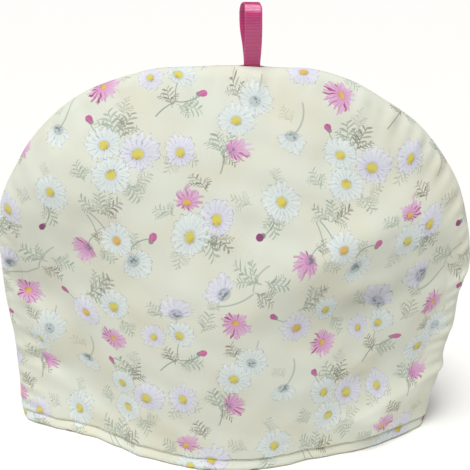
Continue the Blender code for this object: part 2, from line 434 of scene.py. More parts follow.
@dataclass(frozen=True)
class Padding:
    """Fine unevenness of the padded cotton: puckers at the seam and the hem, and soft lumps between."""

    seam_pucker: float = 0.0007
    seam_reach: float = 0.0045
    seam_waves: tuple[float, float] = (0.009, 0.024)
    hem_line: float = 0.0086
    hem_groove: float = 0.0011
    hem_groove_width: float = 0.0010
    stitch: float = 0.0029
    stitch_dimple: float = 0.2
    hem_puff: float = 0.0021
    puff_low: float = 0.6
    puff_round: float = 1.5
    swell_share: float = 0.4
    swell_rise: float = 0.004
    swell_fall: float = 0.012
    hem_pucker: float = 0.0003
    hem_waves: tuple[float, float] = (0.008, 0.022)
    tuck_reach: float = 0.007
    corner_fade: float = 0.006
    lump: float = 0.00035
    lump_fade: float = 0.020
    lump_waves: tuple[float, float] = (0.016, 0.045)
    lump_count: int = 22
    ripple_count: int = 7
    seed: int = 11
    lump_seed: int = 20
    tuck_seed: int = 40

    def ripple(self, along: np.ndarray, seed: int, waves: tuple[float, float]) -> np.ndarray:
        """Uneven ripple: a mean of sines of random wavelength and phase along one direction.

        Args:
            along: running length at each place.
            seed: start of the random numbers.
            waves: the shortest and the longest wavelength.

        Returns:
            The ripple at each place, mostly within -1 and 1.
        """
        draw = np.random.default_rng(seed)
        lengths = draw.uniform(*waves, self.ripple_count)
        phases = draw.uniform(0.0, 2 * math.pi, self.ripple_count)
        total = sum(np.sin(2 * math.pi * along / w + p) for w, p in zip(lengths, phases))
        return total / math.sqrt(self.ripple_count)

    def lumps(self, x: np.ndarray, z: np.ndarray, seed: int) -> np.ndarray:
        """Soft lumps: plane waves of random length, direction and phase, added together.

        Args:
            x, z: places on the panel.
            seed: start of the random numbers.

        Returns:
            The lumps' height at each place, mostly within -1 and 1.
        """
        draw = np.random.default_rng(seed)
        total = np.zeros_like(x)
        for _ in range(self.lump_count):
            wave = draw.uniform(*self.lump_waves)
            turn = draw.uniform(0.0, math.pi)
            phase = draw.uniform(0.0, 2 * math.pi)
            total += np.sin(2 * math.pi * (x * math.cos(turn) + z * math.sin(turn)) / wave + phase)
        return total / math.sqrt(self.lump_count / 2)

    def hem(self, x: np.ndarray, z: np.ndarray, seed: int) -> np.ndarray:
        """Relief of the hem: a puffed band, the stitched groove above it, and a swell above that.

        The band rises as sin^round(pi (z / line)^low), the groove is exp(-(above / width)^2) deep
        with a dimple at each stitch, and small tucks die away from it on both sides.

        Args:
            x, z: places on the panel.
            seed: start of the tucks' random numbers.

        Returns:
            The height of the relief at each place.
        """
        above = z - self.hem_line
        dimple = 1.0 - self.stitch_dimple + self.stitch_dimple * np.cos(2 * math.pi * x / self.stitch)
        groove = self.hem_groove * dimple * np.exp(-((above / self.hem_groove_width) ** 2))
        level = np.clip(z / self.hem_line, 0.0, 1.0)
        puff = self.hem_puff * np.sin(math.pi * level**self.puff_low) ** self.puff_round
        fall = np.exp(-np.maximum(above, 0) / self.swell_fall)
        swell = self.swell_share * self.hem_puff * smooth_step(above, 0.0, self.swell_rise) * fall
        tuck = self.ripple(x, seed, self.hem_waves) * np.exp(-np.abs(above) / self.tuck_reach)
        return puff + swell - groove + self.hem_pucker * tuck

    def offset(self, shape: CosyShape, x: np.ndarray, z: np.ndarray, side: Side) -> np.ndarray:
        """How far the cloth stands out from the folded belly.

        Puckers grow to their height seam_reach from the seam and die away, as t exp(1 - t).

        Args:
            shape: outline and belly.
            x, z: places on the panel.
            side: which panel it is.

        Returns:
            The height of puckers, lumps and hem together at each place.
        """
        reach, turn, far = shape.polar(x, z)
        seed = self.seed + side.value
        from_seam = np.maximum((1.0 - reach) * far, 0.0)
        t = from_seam / self.seam_reach
        pucker = t * np.exp(1.0 - t) * self.ripple(turn * shape.length, seed, self.seam_waves)
        fade = smooth_step(from_seam, 0.0, self.lump_fade)
        lumps = self.lump * fade * self.lumps(x, z, seed + self.lump_seed)
        hem = self.hem(x, z, seed + self.tuck_seed) * smooth_step(from_seam, 0.0, self.corner_fade)
        return self.seam_pucker * pucker + lumps + hem


@dataclass
class FlatCloth:
    """How the folded panel lies flat: U across from the hem's middle and V up from the hem.

    U is the running length of the surface across at one height, and V the running length upwards at
    one X, both summed on a fine grid and read between its points.
    """

    shape: CosyShape
    folds: tuple[Fold, ...]
    half: float = 0.180
    top: float = 0.276
    step: float = 0.001
    u: np.ndarray = field(init=False)
    v: np.ndarray = field(init=False)

    def __post_init__(self) -> None:
        """Sums the running lengths."""
        across = np.arange(-self.half, self.half + self.step / 2, self.step)
        up = np.arange(0.0, self.top + self.step / 2, self.step)
        depth = self.shape.folded_depth(*np.meshgrid(across, up), self.folds)
        run = np.hypot(self.step, np.diff(depth, axis=1))
        total = np.concatenate([np.zeros((len(up), 1)), np.cumsum(run, axis=1)], axis=1)
        self.u = total - total[:, [len(across) // 2]]
        climb = np.hypot(self.step, np.diff(depth, axis=0))
        self.v = np.concatenate([np.zeros((1, len(across))), np.cumsum(climb, axis=0)], axis=0)

    def read(self, points: np.ndarray) -> tuple[np.ndarray, np.ndarray]:
        """Flat places of a face of the panel, read linearly between the grid's points.

        Args:
            points: grid of points, of which X and Z count.

        Returns:
            U and V of each point.
        """
        last = np.array(self.u.shape) - 1.0 - SLIVER
        column = np.clip((points[..., 0] + self.half) / self.step, 0, last[1])
        row = np.clip(points[..., 2] / self.step, 0, last[0])
        left, low = column.astype(int), row.astype(int)
        s, t = column - left, row - low
        found = []
        for table in (self.u, self.v):
            below = table[low, left] * (1 - s) + table[low, left + 1] * s
            over = table[low + 1, left] * (1 - s) + table[low + 1, left + 1] * s
            found.append(below * (1 - t) + over * t)
        return found[0], found[1]


@dataclass(frozen=True)
class MarkFrame:
    """How one printed mark lies on the flat cloth, in millimetres.

    origin is the zero of its own frame, middle and size are what it covers, rows turn flat places
    into its frame, and habit is its three numbers for the paint.
    """

    origin: np.ndarray
    middle: np.ndarray
    size: float
    rows: np.ndarray
    habit: np.ndarray


def upright(turn: float) -> tuple[np.ndarray, np.ndarray]:
    """Directions across and up a mark whose top is turned to the left by so many degrees."""
    angle = math.radians(turn)
    return np.array([math.cos(angle), math.sin(angle)]), np.array([-math.sin(angle), math.cos(angle)])


@dataclass(frozen=True)
class Flower:
    """One printed flower of the repeat: its middle, its tips' radius and its habit.

    turn is where its top points, in degrees from upwards, positive to the left. squash narrows it
    along its top's direction. lean makes the petals towards its top longer and the others shorter.
    """

    u: float
    v: float
    radius: float
    turn: float
    squash: float
    lean: float
    petals: int
    heart: Heart

    def frame(self) -> MarkFrame:
        """Places the flower.

        Returns:
            A frame whose zero is the heart and whose 1 is the radius, reaching further above.
        """
        right, up = upright(self.turn)
        middle = np.array([self.u, self.v])
        rows = np.concatenate([right, up / self.squash]) / self.radius
        habit = np.array([self.petals, self.lean, self.heart.value])
        covered = middle + up * self.radius * self.lean * LEAN_SHIFT
        return MarkFrame(middle, covered, self.radius * (1.0 - LEAN_SHRINK * self.lean), rows, habit)


@dataclass(frozen=True)
class Sprig:
    """One printed sprig or stem from its foot to its tip, with its half width or bend and its tone."""

    u: float
    v: float
    tip_u: float
    tip_v: float
    width: float
    tone: float
    strength: float

    def frame(self) -> MarkFrame:
        """Places the sprig.

        Returns:
            A frame whose zero is the foot and whose (0, 1) is the tip.
        """
        foot = np.array([self.u, self.v])
        run = np.array([self.tip_u, self.tip_v]) - foot
        length = float(np.hypot(*run))
        up = run / length / length
        rows = np.array([up[1], -up[0], up[0], up[1]])
        habit = np.array([self.width, self.tone, self.strength])
        return MarkFrame(foot, foot + run / 2, length * SPRIG_COVER, rows, habit)


@dataclass(frozen=True)
class Bud:
    """One printed bud: its middle, radius, the way it points and how dark it is."""

    u: float
    v: float
    radius: float
    turn: float
    tone: float

    def frame(self) -> MarkFrame:
        """Frame whose zero is the bud's middle and whose 1 is its radius."""
        middle = np.array([self.u, self.v])
        rows = np.concatenate(upright(self.turn)) / self.radius
        return MarkFrame(middle, middle, self.radius * BUD_COVER, rows, np.array([self.tone, 0.0, 0.0]))


@dataclass(frozen=True)
class PrintChart:
    """The printed repeat, charted in millimetres of flat cloth.

    Its copies cover the cloth up to reach from the middle and from lowest to highest. A face belongs
    to a mark if it lies within outside sizes of it, and far is a place off every mark. seeds are how
    much a copy's seed grows from one copy to the next, across and up.
    """

    width: float = 139.0
    height: float = 164.0
    far: float = 9.0
    reach: float = 190.0
    lowest: float = -45.0
    highest: float = 332.5
    outside: float = 1.6
    seeds: tuple[float, float] = (0.37, 0.61)
    copies_across: tuple[int, int] = (-2, 4)
    copies_up: tuple[int, int] = (-3, 4)
    low_daisies: tuple[Flower, ...] = (
        Flower(-72, 226, 13.4, 10, 1.00, 0.10, 17, Heart.YELLOW),
        Flower(-30, 108, 14.4, -50, 0.90, 0.30, 16, Heart.YELLOW),
        Flower(-73, 123, 13.9, -10, 1.00, 0.20, 15, Heart.YELLOW),
        Flower(16, 92, 13.9, -20, 1.00, 0.12, 18, Heart.CALYX),
        Flower(-57, 155, 17.1, -135, 0.80, 0.45, 19, Heart.CALYX),
        Flower(-101, 235, 15.5, 180, 0.85, 0.80, 15, Heart.CALYX),
    )
    mid_daisies: tuple[Flower, ...] = (
        Flower(-53, 220, 17.0, -40, 0.98, 0.20, 17, Heart.YELLOW),
        Flower(-28, 220, 12.8, 5, 1.30, 0.16, 17, Heart.YELLOW),
        Flower(-47, 105, 11.2, 20, 1.05, 0.10, 15, Heart.YELLOW),
        Flower(-6, 177, 15.0, -15, 1.00, 0.22, 15, Heart.YELLOW),
        Flower(-94, 113, 13.4, 0, 0.95, 0.08, 16, Heart.ORANGE),
        Flower(-32, 123, 18.2, 5, 0.80, 0.75, 14, Heart.CALYX),
        Flower(-2, 138, 18.2, 48, 0.80, 0.80, 14, Heart.CALYX),
    )
    high_daisies: tuple[Flower, ...] = (
        Flower(-68, 208, 13.9, 160, 1.00, 0.05, 18, Heart.YELLOW),
        Flower(-106, 192, 15.0, 20, 1.00, 0.04, 19, Heart.YELLOW),
        Flower(-22, 170, 14.4, 0, 1.00, 0.05, 17, Heart.YELLOW),
        Flower(5, 79, 14.4, 0, 1.00, 0.06, 16, Heart.YELLOW),
        Flower(-67, 167, 13.4, 0, 1.00, 0.06, 16, Heart.ORANGE),
    )
    pinks: tuple[Flower, ...] = (
        Flower(-76, 263, 13.0, -120, 1.00, 0.08, 15, Heart.ORANGE),
        Flower(4, 117, 13.0, -150, 1.00, 0.08, 15, Heart.ORANGE),
        Flower(-24, 187, 14.5, -20, 0.85, 0.40, 13, Heart.ORANGE),
        Flower(2, 58, 16.0, -75, 1.00, 0.80, 17, Heart.CALYX),
        Flower(-88, 160, 15.5, 125, 1.10, 0.75, 17, Heart.CALYX),
    )
    buds: tuple[Bud, ...] = (
        Bud(-80, 243, 2.3, 30, 0.2),
        Bud(-15, 96, 2.5, -80, 0.0),
        Bud(-44, 170, 2.6, -25, 0.0),
        Bud(-110, 124, 2.2, 60, 0.3),
        Bud(-119, 170, 2.3, 120, 1.0),
    )
    stems: tuple[Sprig, ...] = (
        Sprig(-79, 240, -72, 231, 0.10, 0.1, 0.8),
        Sprig(-101, 235, -95, 257, 0.14, 0.0, 0.6),
        Sprig(-73, 171, -83, 184, 0.05, 0.0, 0.8),
        Sprig(-80, 168, -85, 183, 0.05, 0.0, 0.7),
        Sprig(-43, 80, -30, 91, -0.06, 0.2, 0.9),
        Sprig(-31, 90, -16, 95, 0.10, 0.2, 0.9),
        Sprig(-31, 90, -29, 106, -0.08, 0.1, 0.7),
        Sprig(-4, 205, -2, 222, 0.05, 0.1, 0.8),
        Sprig(-2, 138, 12, 134, 0.12, 0.1, 0.7),
        Sprig(-6, 130, 16, 139, 0.10, 0.0, 0.6),
        Sprig(16, 139, 26, 156, -0.14, 0.0, 0.6),
        Sprig(16, 96, 20, 108, 0.06, 0.0, 0.7),
        Sprig(-88, 160, -79, 170, -0.15, 0.0, 0.9),
        Sprig(-59, 161, -45, 169, -0.15, 0.1, 0.9),
        Sprig(-58, 162, -57, 155, 0.05, 0.1, 0.8),
        Sprig(-109, 122, -98, 115, -0.08, 0.0, 0.8),
        Sprig(-117, 171, -110, 182, 0.10, 0.2, 0.8),
        Sprig(-32, 122, -29, 108, 0.05, 0.0, 0.6),
    )
    sage: tuple[Sprig, ...] = (
        Sprig(-65, 231, -71, 248, 0.34, 0.1, 0.95),
        Sprig(-83, 204, -90, 214, 0.42, 0.0, 0.8),
        Sprig(-58, 203, -52, 191, 0.45, 0.0, 0.8),
        Sprig(-110, 203, -108, 213, 0.40, 0.2, 0.5),
        Sprig(-113, 185, -107, 172, 0.40, 0.2, 0.8),
        Sprig(-76, 184, -88, 192, 0.34, 0.1, 0.9),
        Sprig(-75, 184, -74, 197, 0.36, 0.1, 0.9),
        Sprig(-30, 88, -15, 86, 0.42, 0.0, 0.9),
        Sprig(-3, 218, -9, 234, 0.36, 0.0, 0.95),
        Sprig(-3, 220, 2, 236, 0.34, 0.0, 0.85),
        Sprig(-32, 181, -42, 188, 0.42, 0.0, 0.8),
        Sprig(-41, 120, -49, 129, 0.42, 0.1, 0.8),
        Sprig(20, 145, 3, 152, 0.34, 0.0, 0.95),
        Sprig(24, 147, 38, 144, 0.40, 0.0, 0.95),
        Sprig(-92, 126, -74, 139, 0.32, 0.2, 0.95),
        Sprig(-68, 116, -60, 105, 0.38, 0.0, 0.8),
        Sprig(-12, 172, -5, 158, 0.40, 0.1, 0.95),
        Sprig(-79, 161, -71, 152, 0.42, 0.0, 0.8),
        Sprig(-57, 162, -53, 172, 0.36, 0.1, 0.7),
    )
    browns: tuple[Sprig, ...] = (
        Sprig(-63, 231, -57, 247, 0.34, 0.9, 0.95),
        Sprig(-62, 244, -63, 256, 0.34, 0.7, 0.45),
        Sprig(-55, 201, -45, 207, 0.42, 0.7, 0.5),
        Sprig(-29, 219, -38, 208, 0.40, 0.6, 0.5),
        Sprig(-28, 219, -17, 213, 0.40, 0.7, 0.5),
        Sprig(-124, 188, -137, 190, 0.36, 0.7, 0.5),
        Sprig(-75, 184, -62, 190, 0.36, 1.0, 0.95),
        Sprig(-33, 87, -38, 99, 0.38, 1.0, 0.95),
        Sprig(7, 93, 0, 103, 0.40, 1.0, 0.9),
        Sprig(-3, 219, 6, 213, 0.40, 1.0, 0.9),
        Sprig(-12, 194, -19, 206, 0.38, 1.0, 0.9),
        Sprig(-101, 244, -108, 252, 0.40, 0.6, 0.4),
        Sprig(18, 140, 30, 134, 0.38, 1.0, 0.9),
        Sprig(-16, 112, -10, 125, 0.36, 0.7, 0.6),
        Sprig(-8, 173, 0, 160, 0.34, 1.0, 0.85),
        Sprig(-27, 165, -29, 151, 0.36, 0.6, 0.5),
        Sprig(-80, 163, -81, 173, 0.36, 1.0, 0.8),
        Sprig(-84, 128, -72, 140, 0.30, 0.9, 0.7),
        Sprig(-5, 127, -11, 133, 0.40, 0.8, 0.6),
    )

    def repeats(self, marks: tuple) -> np.ndarray:
        """Every place of each mark's repeats over a panel.

        Args:
            marks: the marks of one layer.

        Returns:
            Rows of (mark's index, U shift, V shift) in millimetres.
        """
        across = np.arange(*self.copies_across) * self.width
        up = np.arange(*self.copies_up) * self.height
        index, du, dv = np.meshgrid(np.arange(len(marks)), across, up, indexing="ij")
        rows = np.stack([index.ravel(), du.ravel(), dv.ravel()], axis=1)
        places = np.array([(mark.u, mark.v) for mark in marks])[rows[:, 0].astype(int)] + rows[:, 1:]
        u, v = places.T
        return rows[(np.abs(u) < self.reach) & (v > self.lowest) & (v < self.highest)]

    def local(self, marks: tuple, corners: np.ndarray) -> dict[str, np.ndarray]:
        """Places the nearest mark of a layer on each face of the cloth.

        Args:
            marks: the marks of one layer, all of one kind.
            corners: flat place of each face's corners in millimetres, as faces by corners by two.

        Returns:
            "at": each corner in the mark's own frame, as (x, y, seed), and "of": the mark's habit.
        """
        rows = self.repeats(marks)
        index = rows[:, 0].astype(int)
        frames = [mark.frame() for mark in marks]
        origin, centre, size, turns, habit = (
            np.array([getattr(one, part.name) for one in frames])[index] for part in fields(MarkFrame))
        middle = corners.mean(axis=1)
        gap = np.linalg.norm(middle[:, None] - (centre + rows[:, 1:])[None], axis=2) / size
        nearest = gap.argmin(axis=1)
        near = gap.min(axis=1) < self.outside
        turns = turns[nearest]
        seed = index + self.seeds[0] * rows[:, 1] / self.width + self.seeds[1] * rows[:, 2] / self.height
        offset = corners - (origin + rows[:, 1:])[nearest][:, None]
        x = offset[..., 0] * turns[:, None, 0] + offset[..., 1] * turns[:, None, 1]
        y = offset[..., 0] * turns[:, None, 2] + offset[..., 1] * turns[:, None, 3]
        count = corners.shape[1]
        place = np.stack([x, y, np.repeat(seed[nearest][:, None], count, axis=1)], axis=2)
        place[~near] = (self.far, self.far, 0.0)
        return {"at": place, "of": np.repeat(habit[nearest][:, None], count, axis=1)}


PRINT_LAYERS = {
    "stem": "stems",
    "sage": "sage",
    "brown": "browns",
    "low": "low_daisies",
    "mid": "mid_daisies",
    "high": "high_daisies",
    "pink": "pinks",
    "bud": "buds",
}


def tube_faces(rings: np.ndarray) -> np.ndarray:
    """Quads between closed rings of points.

    Args:
        rings: indices of the points, a row for each ring.

    Returns:
        One row of four corner indices for each quad.
    """
    turned = np.roll(rings, -1, axis=1)
    return np.stack([rings[:-1], turned[:-1], turned[1:], rings[1:]], axis=2).reshape(-1, 4)


def strip_faces(rows: np.ndarray) -> np.ndarray:
    """Quads between open rows of points.

    Args:
        rows: indices of the points, row by row.

    Returns:
        One row of four corner indices for each quad, running first along the row.
    """
    corners = [rows[:-1, :-1], rows[:-1, 1:], rows[1:, 1:], rows[1:, :-1]]
    return np.stack(corners, axis=2).reshape(-1, 4)


def signed_volume(points: np.ndarray, faces: list) -> float:
    """Volume inside the faces: a sum over fans of triangles.

    Args:
        points: corners, as rows of X, Y, Z.
        faces: rows of corner indices; they may differ in length.

    Returns:
        The volume, positive if the faces point outwards.
    """
    total = 0.0
    by_size: dict[int, list] = {}
    for face in faces:
        by_size.setdefault(len(face), []).append(face)
    for size, group in by_size.items():
        corners = points[np.array(group)]
        for k in range(1, size - 1):
            total += float(np.sum(corners[:, 0] * np.cross(corners[:, k], corners[:, k + 1]))) / 6.0
    return total


def make_piece(name: str, points: np.ndarray, faces: list) -> bpy.types.Object:
    """Puts points and faces into a new piece at the origin, with its faces turned outwards.

    Args:
        name: the piece's name.
        points: corners, as rows of X, Y, Z.
        faces: rows of corner indices; they may differ in length.

    Returns:
        The new object, linked to the scene and shaded smooth.
    """
    mesh = bpy.data.meshes.new(name)
    if signed_volume(points, faces) < 0.0:
        faces = [face[::-1] for face in faces]
    mesh.from_pydata(points.tolist(), [], faces)
    mesh.polygons.foreach_set("use_smooth", np.ones(len(mesh.polygons), bool))
    mesh.validate()
    mesh.update()
    return place_object(name, mesh)


def place_object(name: str, data: bpy.types.ID) -> bpy.types.Object:
    """Makes an object of a mesh, lamp or camera and links it to the scene."""
    thing = bpy.data.objects.new(name, data)
    bpy.context.scene.collection.objects.link(thing)
    return thing


def add_map(mesh: bpy.types.Mesh, name: str, places: np.ndarray) -> None:
    """Adds a UV map with one place for each face corner."""
    layer = mesh.uv_layers.new(name=name)
    layer.uv.foreach_set("vector", places.ravel().astype(np.float32))


def corner_points(mesh: bpy.types.Mesh) -> np.ndarray:
    """Index of each face corner's point."""
    corner = np.zeros(len(mesh.loops), np.int32)
    mesh.loops.foreach_get("vertex_index", corner)
    return corner


def dress(piece: bpy.types.Object, material: bpy.types.Material) -> None:
    """Gives a finished piece its material and the body it rides on."""
    piece.data.materials.append(material)
    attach(piece, BODY)


@dataclass(frozen=True)
class BakeSheet:
    """Where the parts of a panel lie on the unit square that its colours are baked to."""

    left: float = 0.01
    wide: float = 0.98
    outer_band: tuple[float, float] = (0.005, 0.835)
    lining_band: tuple[float, float] = (0.845, 0.965)
    seam_left: float = 0.02
    seam_wide: float = 0.96
    seam_rows: tuple[float, float] = (0.99, 0.975)
    cap_middle: tuple[float, float] = (0.005, 0.3)
    cap_radius: float = 0.004
    cap_step: float = 0.1


@dataclass
class PaddedPanel:
    """One panel: an outer face, a rolled hem, an inner face and the flat seam edge that closes them."""

    name: str
    side: Side
    shape: CosyShape
    padding: Padding
    folds: tuple[Fold, ...]
    chart: PrintChart
    loop_x: float
    cloth_shift: tuple[float, float]
    columns: int = 240
    rows: int = 180
    roll_rows: int = 16
    seam_crowding: float = 0.03
    hem_crowding: float = 0.32
    seam_edge: float = 0.009
    seam_wall: float = 0.35
    seam_turn: float = 0.04
    crown: tuple[float, float, float, float] = (0.3, 0.4, 0.6, 0.7)
    slot_half: float = 0.0053
    slot_blend: float = 0.003
    slot_depth: float = 0.00145
    slot_reach: tuple[float, float] = (0.93, 0.97)
    roll_square: float = 0.66
    sharp_angle: float = 60.0
    sheet: BakeSheet = BakeSheet()

    def disc(self) -> tuple[np.ndarray, np.ndarray]:
        """Grid over the panel.

        A square of u across and v up is mapped to a half disc as u sqrt(1 - v^2 / 2) and
        v sqrt(1 - u^2 / 2), so that its two sides and its top all lie on the seam.

        Returns:
            Reach and turn at each of the grid's points, row by row from the hem up.
        """
        half = crowded(self.columns // 2, 1.0, self.seam_crowding)
        u = np.concatenate([-half[:0:-1], half])
        u, v = np.meshgrid(u, crowded(self.rows, self.hem_crowding, self.seam_crowding))
        across = u * np.sqrt(1.0 - v * v / 2.0)
        up = v * np.sqrt(1.0 - u * u / 2.0)
        return np.minimum(np.hypot(across, up), 1.0), np.arctan2(up, across) / math.pi

    def opening(self, reach: np.ndarray, turn: np.ndarray) -> np.ndarray:
        """Gap of this panel to the seam plane, which widens where the ribbon passes over the crown.

        Args:
            reach, turn: places on the panel.

        Returns:
            The gap at each place.
        """
        x, _ = self.shape.seam_at(turn)
        start, started, ending, end = self.crown
        up = smooth_step(turn, start, started) * smooth_step(-turn, -end, -ending)
        beside = smooth_step(-np.abs(x - self.loop_x), -self.slot_half - self.slot_blend, -self.slot_half)
        return self.shape.seam_gap + self.slot_depth * beside * up * smooth_step(reach, *self.slot_reach)

    def outer(self, reach: np.ndarray, turn: np.ndarray) -> np.ndarray:
        """Outer face: the folded belly and the padding's relief, closed on the seam.

        Args:
            reach, turn: the grid.

        Returns:
            The face's grid of points.
        """
        seam_x, seam_rise = self.shape.seam_at(turn)
        x = reach * seam_x
        z = self.shape.hem_radius + reach * seam_rise
        depth = self.shape.folded_depth(x, z, self.folds)
        depth += self.padding.offset(self.shape, x, z, self.side)
        depth = np.where(reach >= 1.0, 0.0, np.maximum(depth, 0.0))
        return np.stack([x, self.side.value * (self.opening(reach, turn) + depth), z], axis=2)

    def inner(self, reach: np.ndarray, turn: np.ndarray) -> np.ndarray:
        """Inner face, one wall inside the smooth belly.

        It ends a seam allowance inside the seam: reach is drawn in by edge / far reach^4, the wall
        grows by seam_wall reach^4, and its depth closes on the seam plane as a quarter round.

        Args:
            reach, turn: the grid.

        Returns:
            The face's grid of points.
        """
        seam_x, seam_rise = self.shape.seam_at(turn)
        far = np.hypot(seam_x, seam_rise)
        inside = reach * (1.0 - self.seam_edge / far * reach**4)
        x = inside * seam_x
        z = self.shape.hem_radius + inside * seam_rise
        wall = self.shape.wall * (1.0 + self.seam_wall * reach**4)
        closing = quarter_round(np.minimum((1.0 - reach) / self.seam_turn, 1.0))
        depth = np.maximum(self.shape.folded_depth(x, z, self.folds) - wall, 0.0) * closing
        return np.stack([x, self.side.value * (self.opening(inside, turn) + depth), z], axis=2)

    def roll(self, outer_edge: np.ndarray, inner_edge: np.ndarray) -> np.ndarray:
        """Turned hem, from the outer edge down and up to the inner one.

        Each row is half of a squared oval: the cosine and sine of its swing are raised to roll_square.

        Args:
            outer_edge, inner_edge: lowest rows of the two faces.

        Returns:
            The rows of points between them.
        """
        swing = math.pi * smooth_step(np.arange(1, self.roll_rows) / self.roll_rows, 0.0, 1.0)
        middle = (outer_edge + inner_edge) / 2.0
        out = np.sign(np.cos(swing)) * np.abs(np.cos(swing)) ** self.roll_square
        down = np.sin(swing) ** self.roll_square
        rows = middle[None] + (outer_edge - middle)[None] * out[:, None, None]
        rows[..., 2] -= self.shape.hem_radius * down[:, None]
        return rows

    def faces(self) -> tuple[list, tuple[int, int, int, int]]:
        """Faces over the points of the outer face, the hem's roll and the inner face, in that order.

        Returns:
            Rows of corner indices, with the hem's two end caps last, and how many outer, hem, inner
            and seam faces there are.
        """
        wide, tall = self.columns + 1, self.rows + 1
        grid = np.arange(tall * wide).reshape(tall, wide)
        rolled = tall * wide + np.arange((self.roll_rows - 1) * wide).reshape(-1, wide)
        inside = grid + (tall + self.roll_rows - 1) * wide
        hem_rows = np.concatenate([grid[:1], rolled, inside[:1]])
        edge, inside_edge = (np.concatenate([face[:, -1], face[-1, -2::-1], face[-2::-1, 0]])
                             for face in (grid, inside))
        seam = np.stack([inside_edge[:-1], inside_edge[1:], edge[1:], edge[:-1]], axis=1)
        hem, lining = strip_faces(hem_rows)[:, TURNED_OVER], strip_faces(inside)[:, ::-1]
        parts = (strip_faces(grid), hem, lining, seam)
        caps = [hem_rows[:, -1].tolist(), hem_rows[::-1, 0].tolist()]
        return np.concatenate(parts).tolist() + caps, tuple(len(part) for part in parts)

    def build(self, material: bpy.types.Material) -> bpy.types.Object:
        """Makes the panel, its cloth and bake maps and its print, and dresses it.

        Args:
            material: the printed cotton.

        Returns:
            The finished panel.
        """
        reach, turn = self.disc()
        outer = self.outer(reach, turn)
        inner = self.inner(reach, turn)
        roll = self.roll(outer[0], inner[0])
        faces, kinds = self.faces()
        points = np.concatenate([part.reshape(-1, 3) for part in (outer, roll, inner)])
        piece = make_piece(self.name, points + np.array([self.shape.hem_middle, 0.0, 0.0]), faces)
        corner, kind = face_corners(piece.data, kinds)
        cloth = self.cloth_places(outer, roll, inner)[corner]
        add_map(piece.data, "cloth", cloth)
        self.lay_print(piece.data, cloth, kind)
        turns = np.concatenate([turn.ravel(), np.zeros(roll[..., 0].size), turn.ravel()])
        add_map(piece.data, "OFBake", self.bake_places(cloth, corner, kind, turns))
        piece.data.set_sharp_from_angle(angle=math.radians(self.sharp_angle))
        dress(piece, material)
        return piece

    def cloth_places(self, outer: np.ndarray, roll: np.ndarray, inner: np.ndarray) -> np.ndarray:
        """Flat place of each point in metres; the hem's roll runs on downwards from the outer face.

        Args:
            outer, roll, inner: the panel's three grids of points.

        Returns:
            Rows of U and V.
        """
        flat = FlatCloth(self.shape, self.folds)
        u_out, v_out = flat.read(outer)
        chain = np.concatenate([outer[:1], roll])
        drop = -np.cumsum(np.linalg.norm(np.diff(chain, axis=0), axis=2), axis=0)
        rolled = (np.repeat(u_out[:1], len(roll), axis=0), v_out[:1] + drop)
        places = ((u_out, v_out), rolled, flat.read(inner))
        return np.concatenate([np.stack(pair, axis=2).reshape(-1, 2) for pair in places])

    def lay_print(self, mesh: bpy.types.Mesh, cloth: np.ndarray, kind: np.ndarray) -> None:
        """Marks the lining, and writes each print layer's nearest marks onto the outer face and hem.

        Args:
            mesh: the panel's mesh.
            cloth: flat place of each face corner, in metres.
            kind: kind of each corner's face.
        """
        lining = mesh.attributes.new("lining", "FLOAT", "CORNER")
        lining.data.foreach_set("value", (kind > FaceKind.HEM).astype(np.float32))
        printed = kind <= FaceKind.HEM
        corners = cloth[printed].reshape(-1, 4, 2) / MM
        corners = corners + sum(ease.shift(corners) for ease in EASES)
        corners[..., 0] = -self.side.value * corners[..., 0]
        corners = corners + np.array(self.cloth_shift)
        for name, marks in PRINT_LAYERS.items():
            found = self.chart.local(getattr(self.chart, marks), corners)
            for part, values in found.items():
                whole = np.full((len(kind), 3), self.chart.far, np.float32)
                whole[printed] = values.reshape(-1, 3)
                attribute = mesh.attributes.new(f"{name}_{part}", "FLOAT_VECTOR", "CORNER")
                attribute.data.foreach_set("vector", whole.ravel())

    def bake_places(self, cloth: np.ndarray, corner: np.ndarray, kind: np.ndarray,
                    turns: np.ndarray) -> np.ndarray:
        """Lays the faces on the unit square: outer and hem below, then the lining, then the seam edge.

        The seam edge is a thin strip along the seam's length, and the hem's two end caps are small
        half discs at the left.

        Args:
            cloth: flat place of each face corner, in metres.
            corner: index of each corner's point.
            kind: kind of each corner's face.
            turns: each point's share of the seam's length.

        Returns:
            Each face corner's place on the unit square.
        """
        sheet = self.sheet
        places = cloth.astype(np.float32)
        low = places.min(axis=0)
        share = (places - low) / (places.max(axis=0) - low)
        square = np.zeros_like(share)
        square[:, 0] = sheet.left + sheet.wide * share[:, 0]
        bands = {FaceKind.OUTER: sheet.outer_band, FaceKind.HEM: sheet.outer_band,
                 FaceKind.LINING: sheet.lining_band}
        for part, (start, end) in bands.items():
            chosen = kind == part
            square[chosen, 1] = start + (end - start) * share[chosen, 1]
        seam = kind == FaceKind.SEAM
        square[seam, 0] = sheet.seam_left + sheet.seam_wide * turns[corner[seam]]
        is_inner = corner[seam] >= len(turns) - (self.columns + 1) * (self.rows + 1)
        square[seam, 1] = np.where(is_inner, *sheet.seam_rows)
        cap = np.flatnonzero(kind == FaceKind.CAP)
        swing = math.pi * (np.arange(len(cap)) % (self.roll_rows + 1)) / self.roll_rows
        second = np.arange(len(cap)) > self.roll_rows
        square[cap, 0] = sheet.cap_middle[0] + sheet.cap_radius * np.cos(swing)
        square[cap, 1] = sheet.cap_middle[1] + sheet.cap_step * second + sheet.cap_radius * np.sin(swing)
        return square


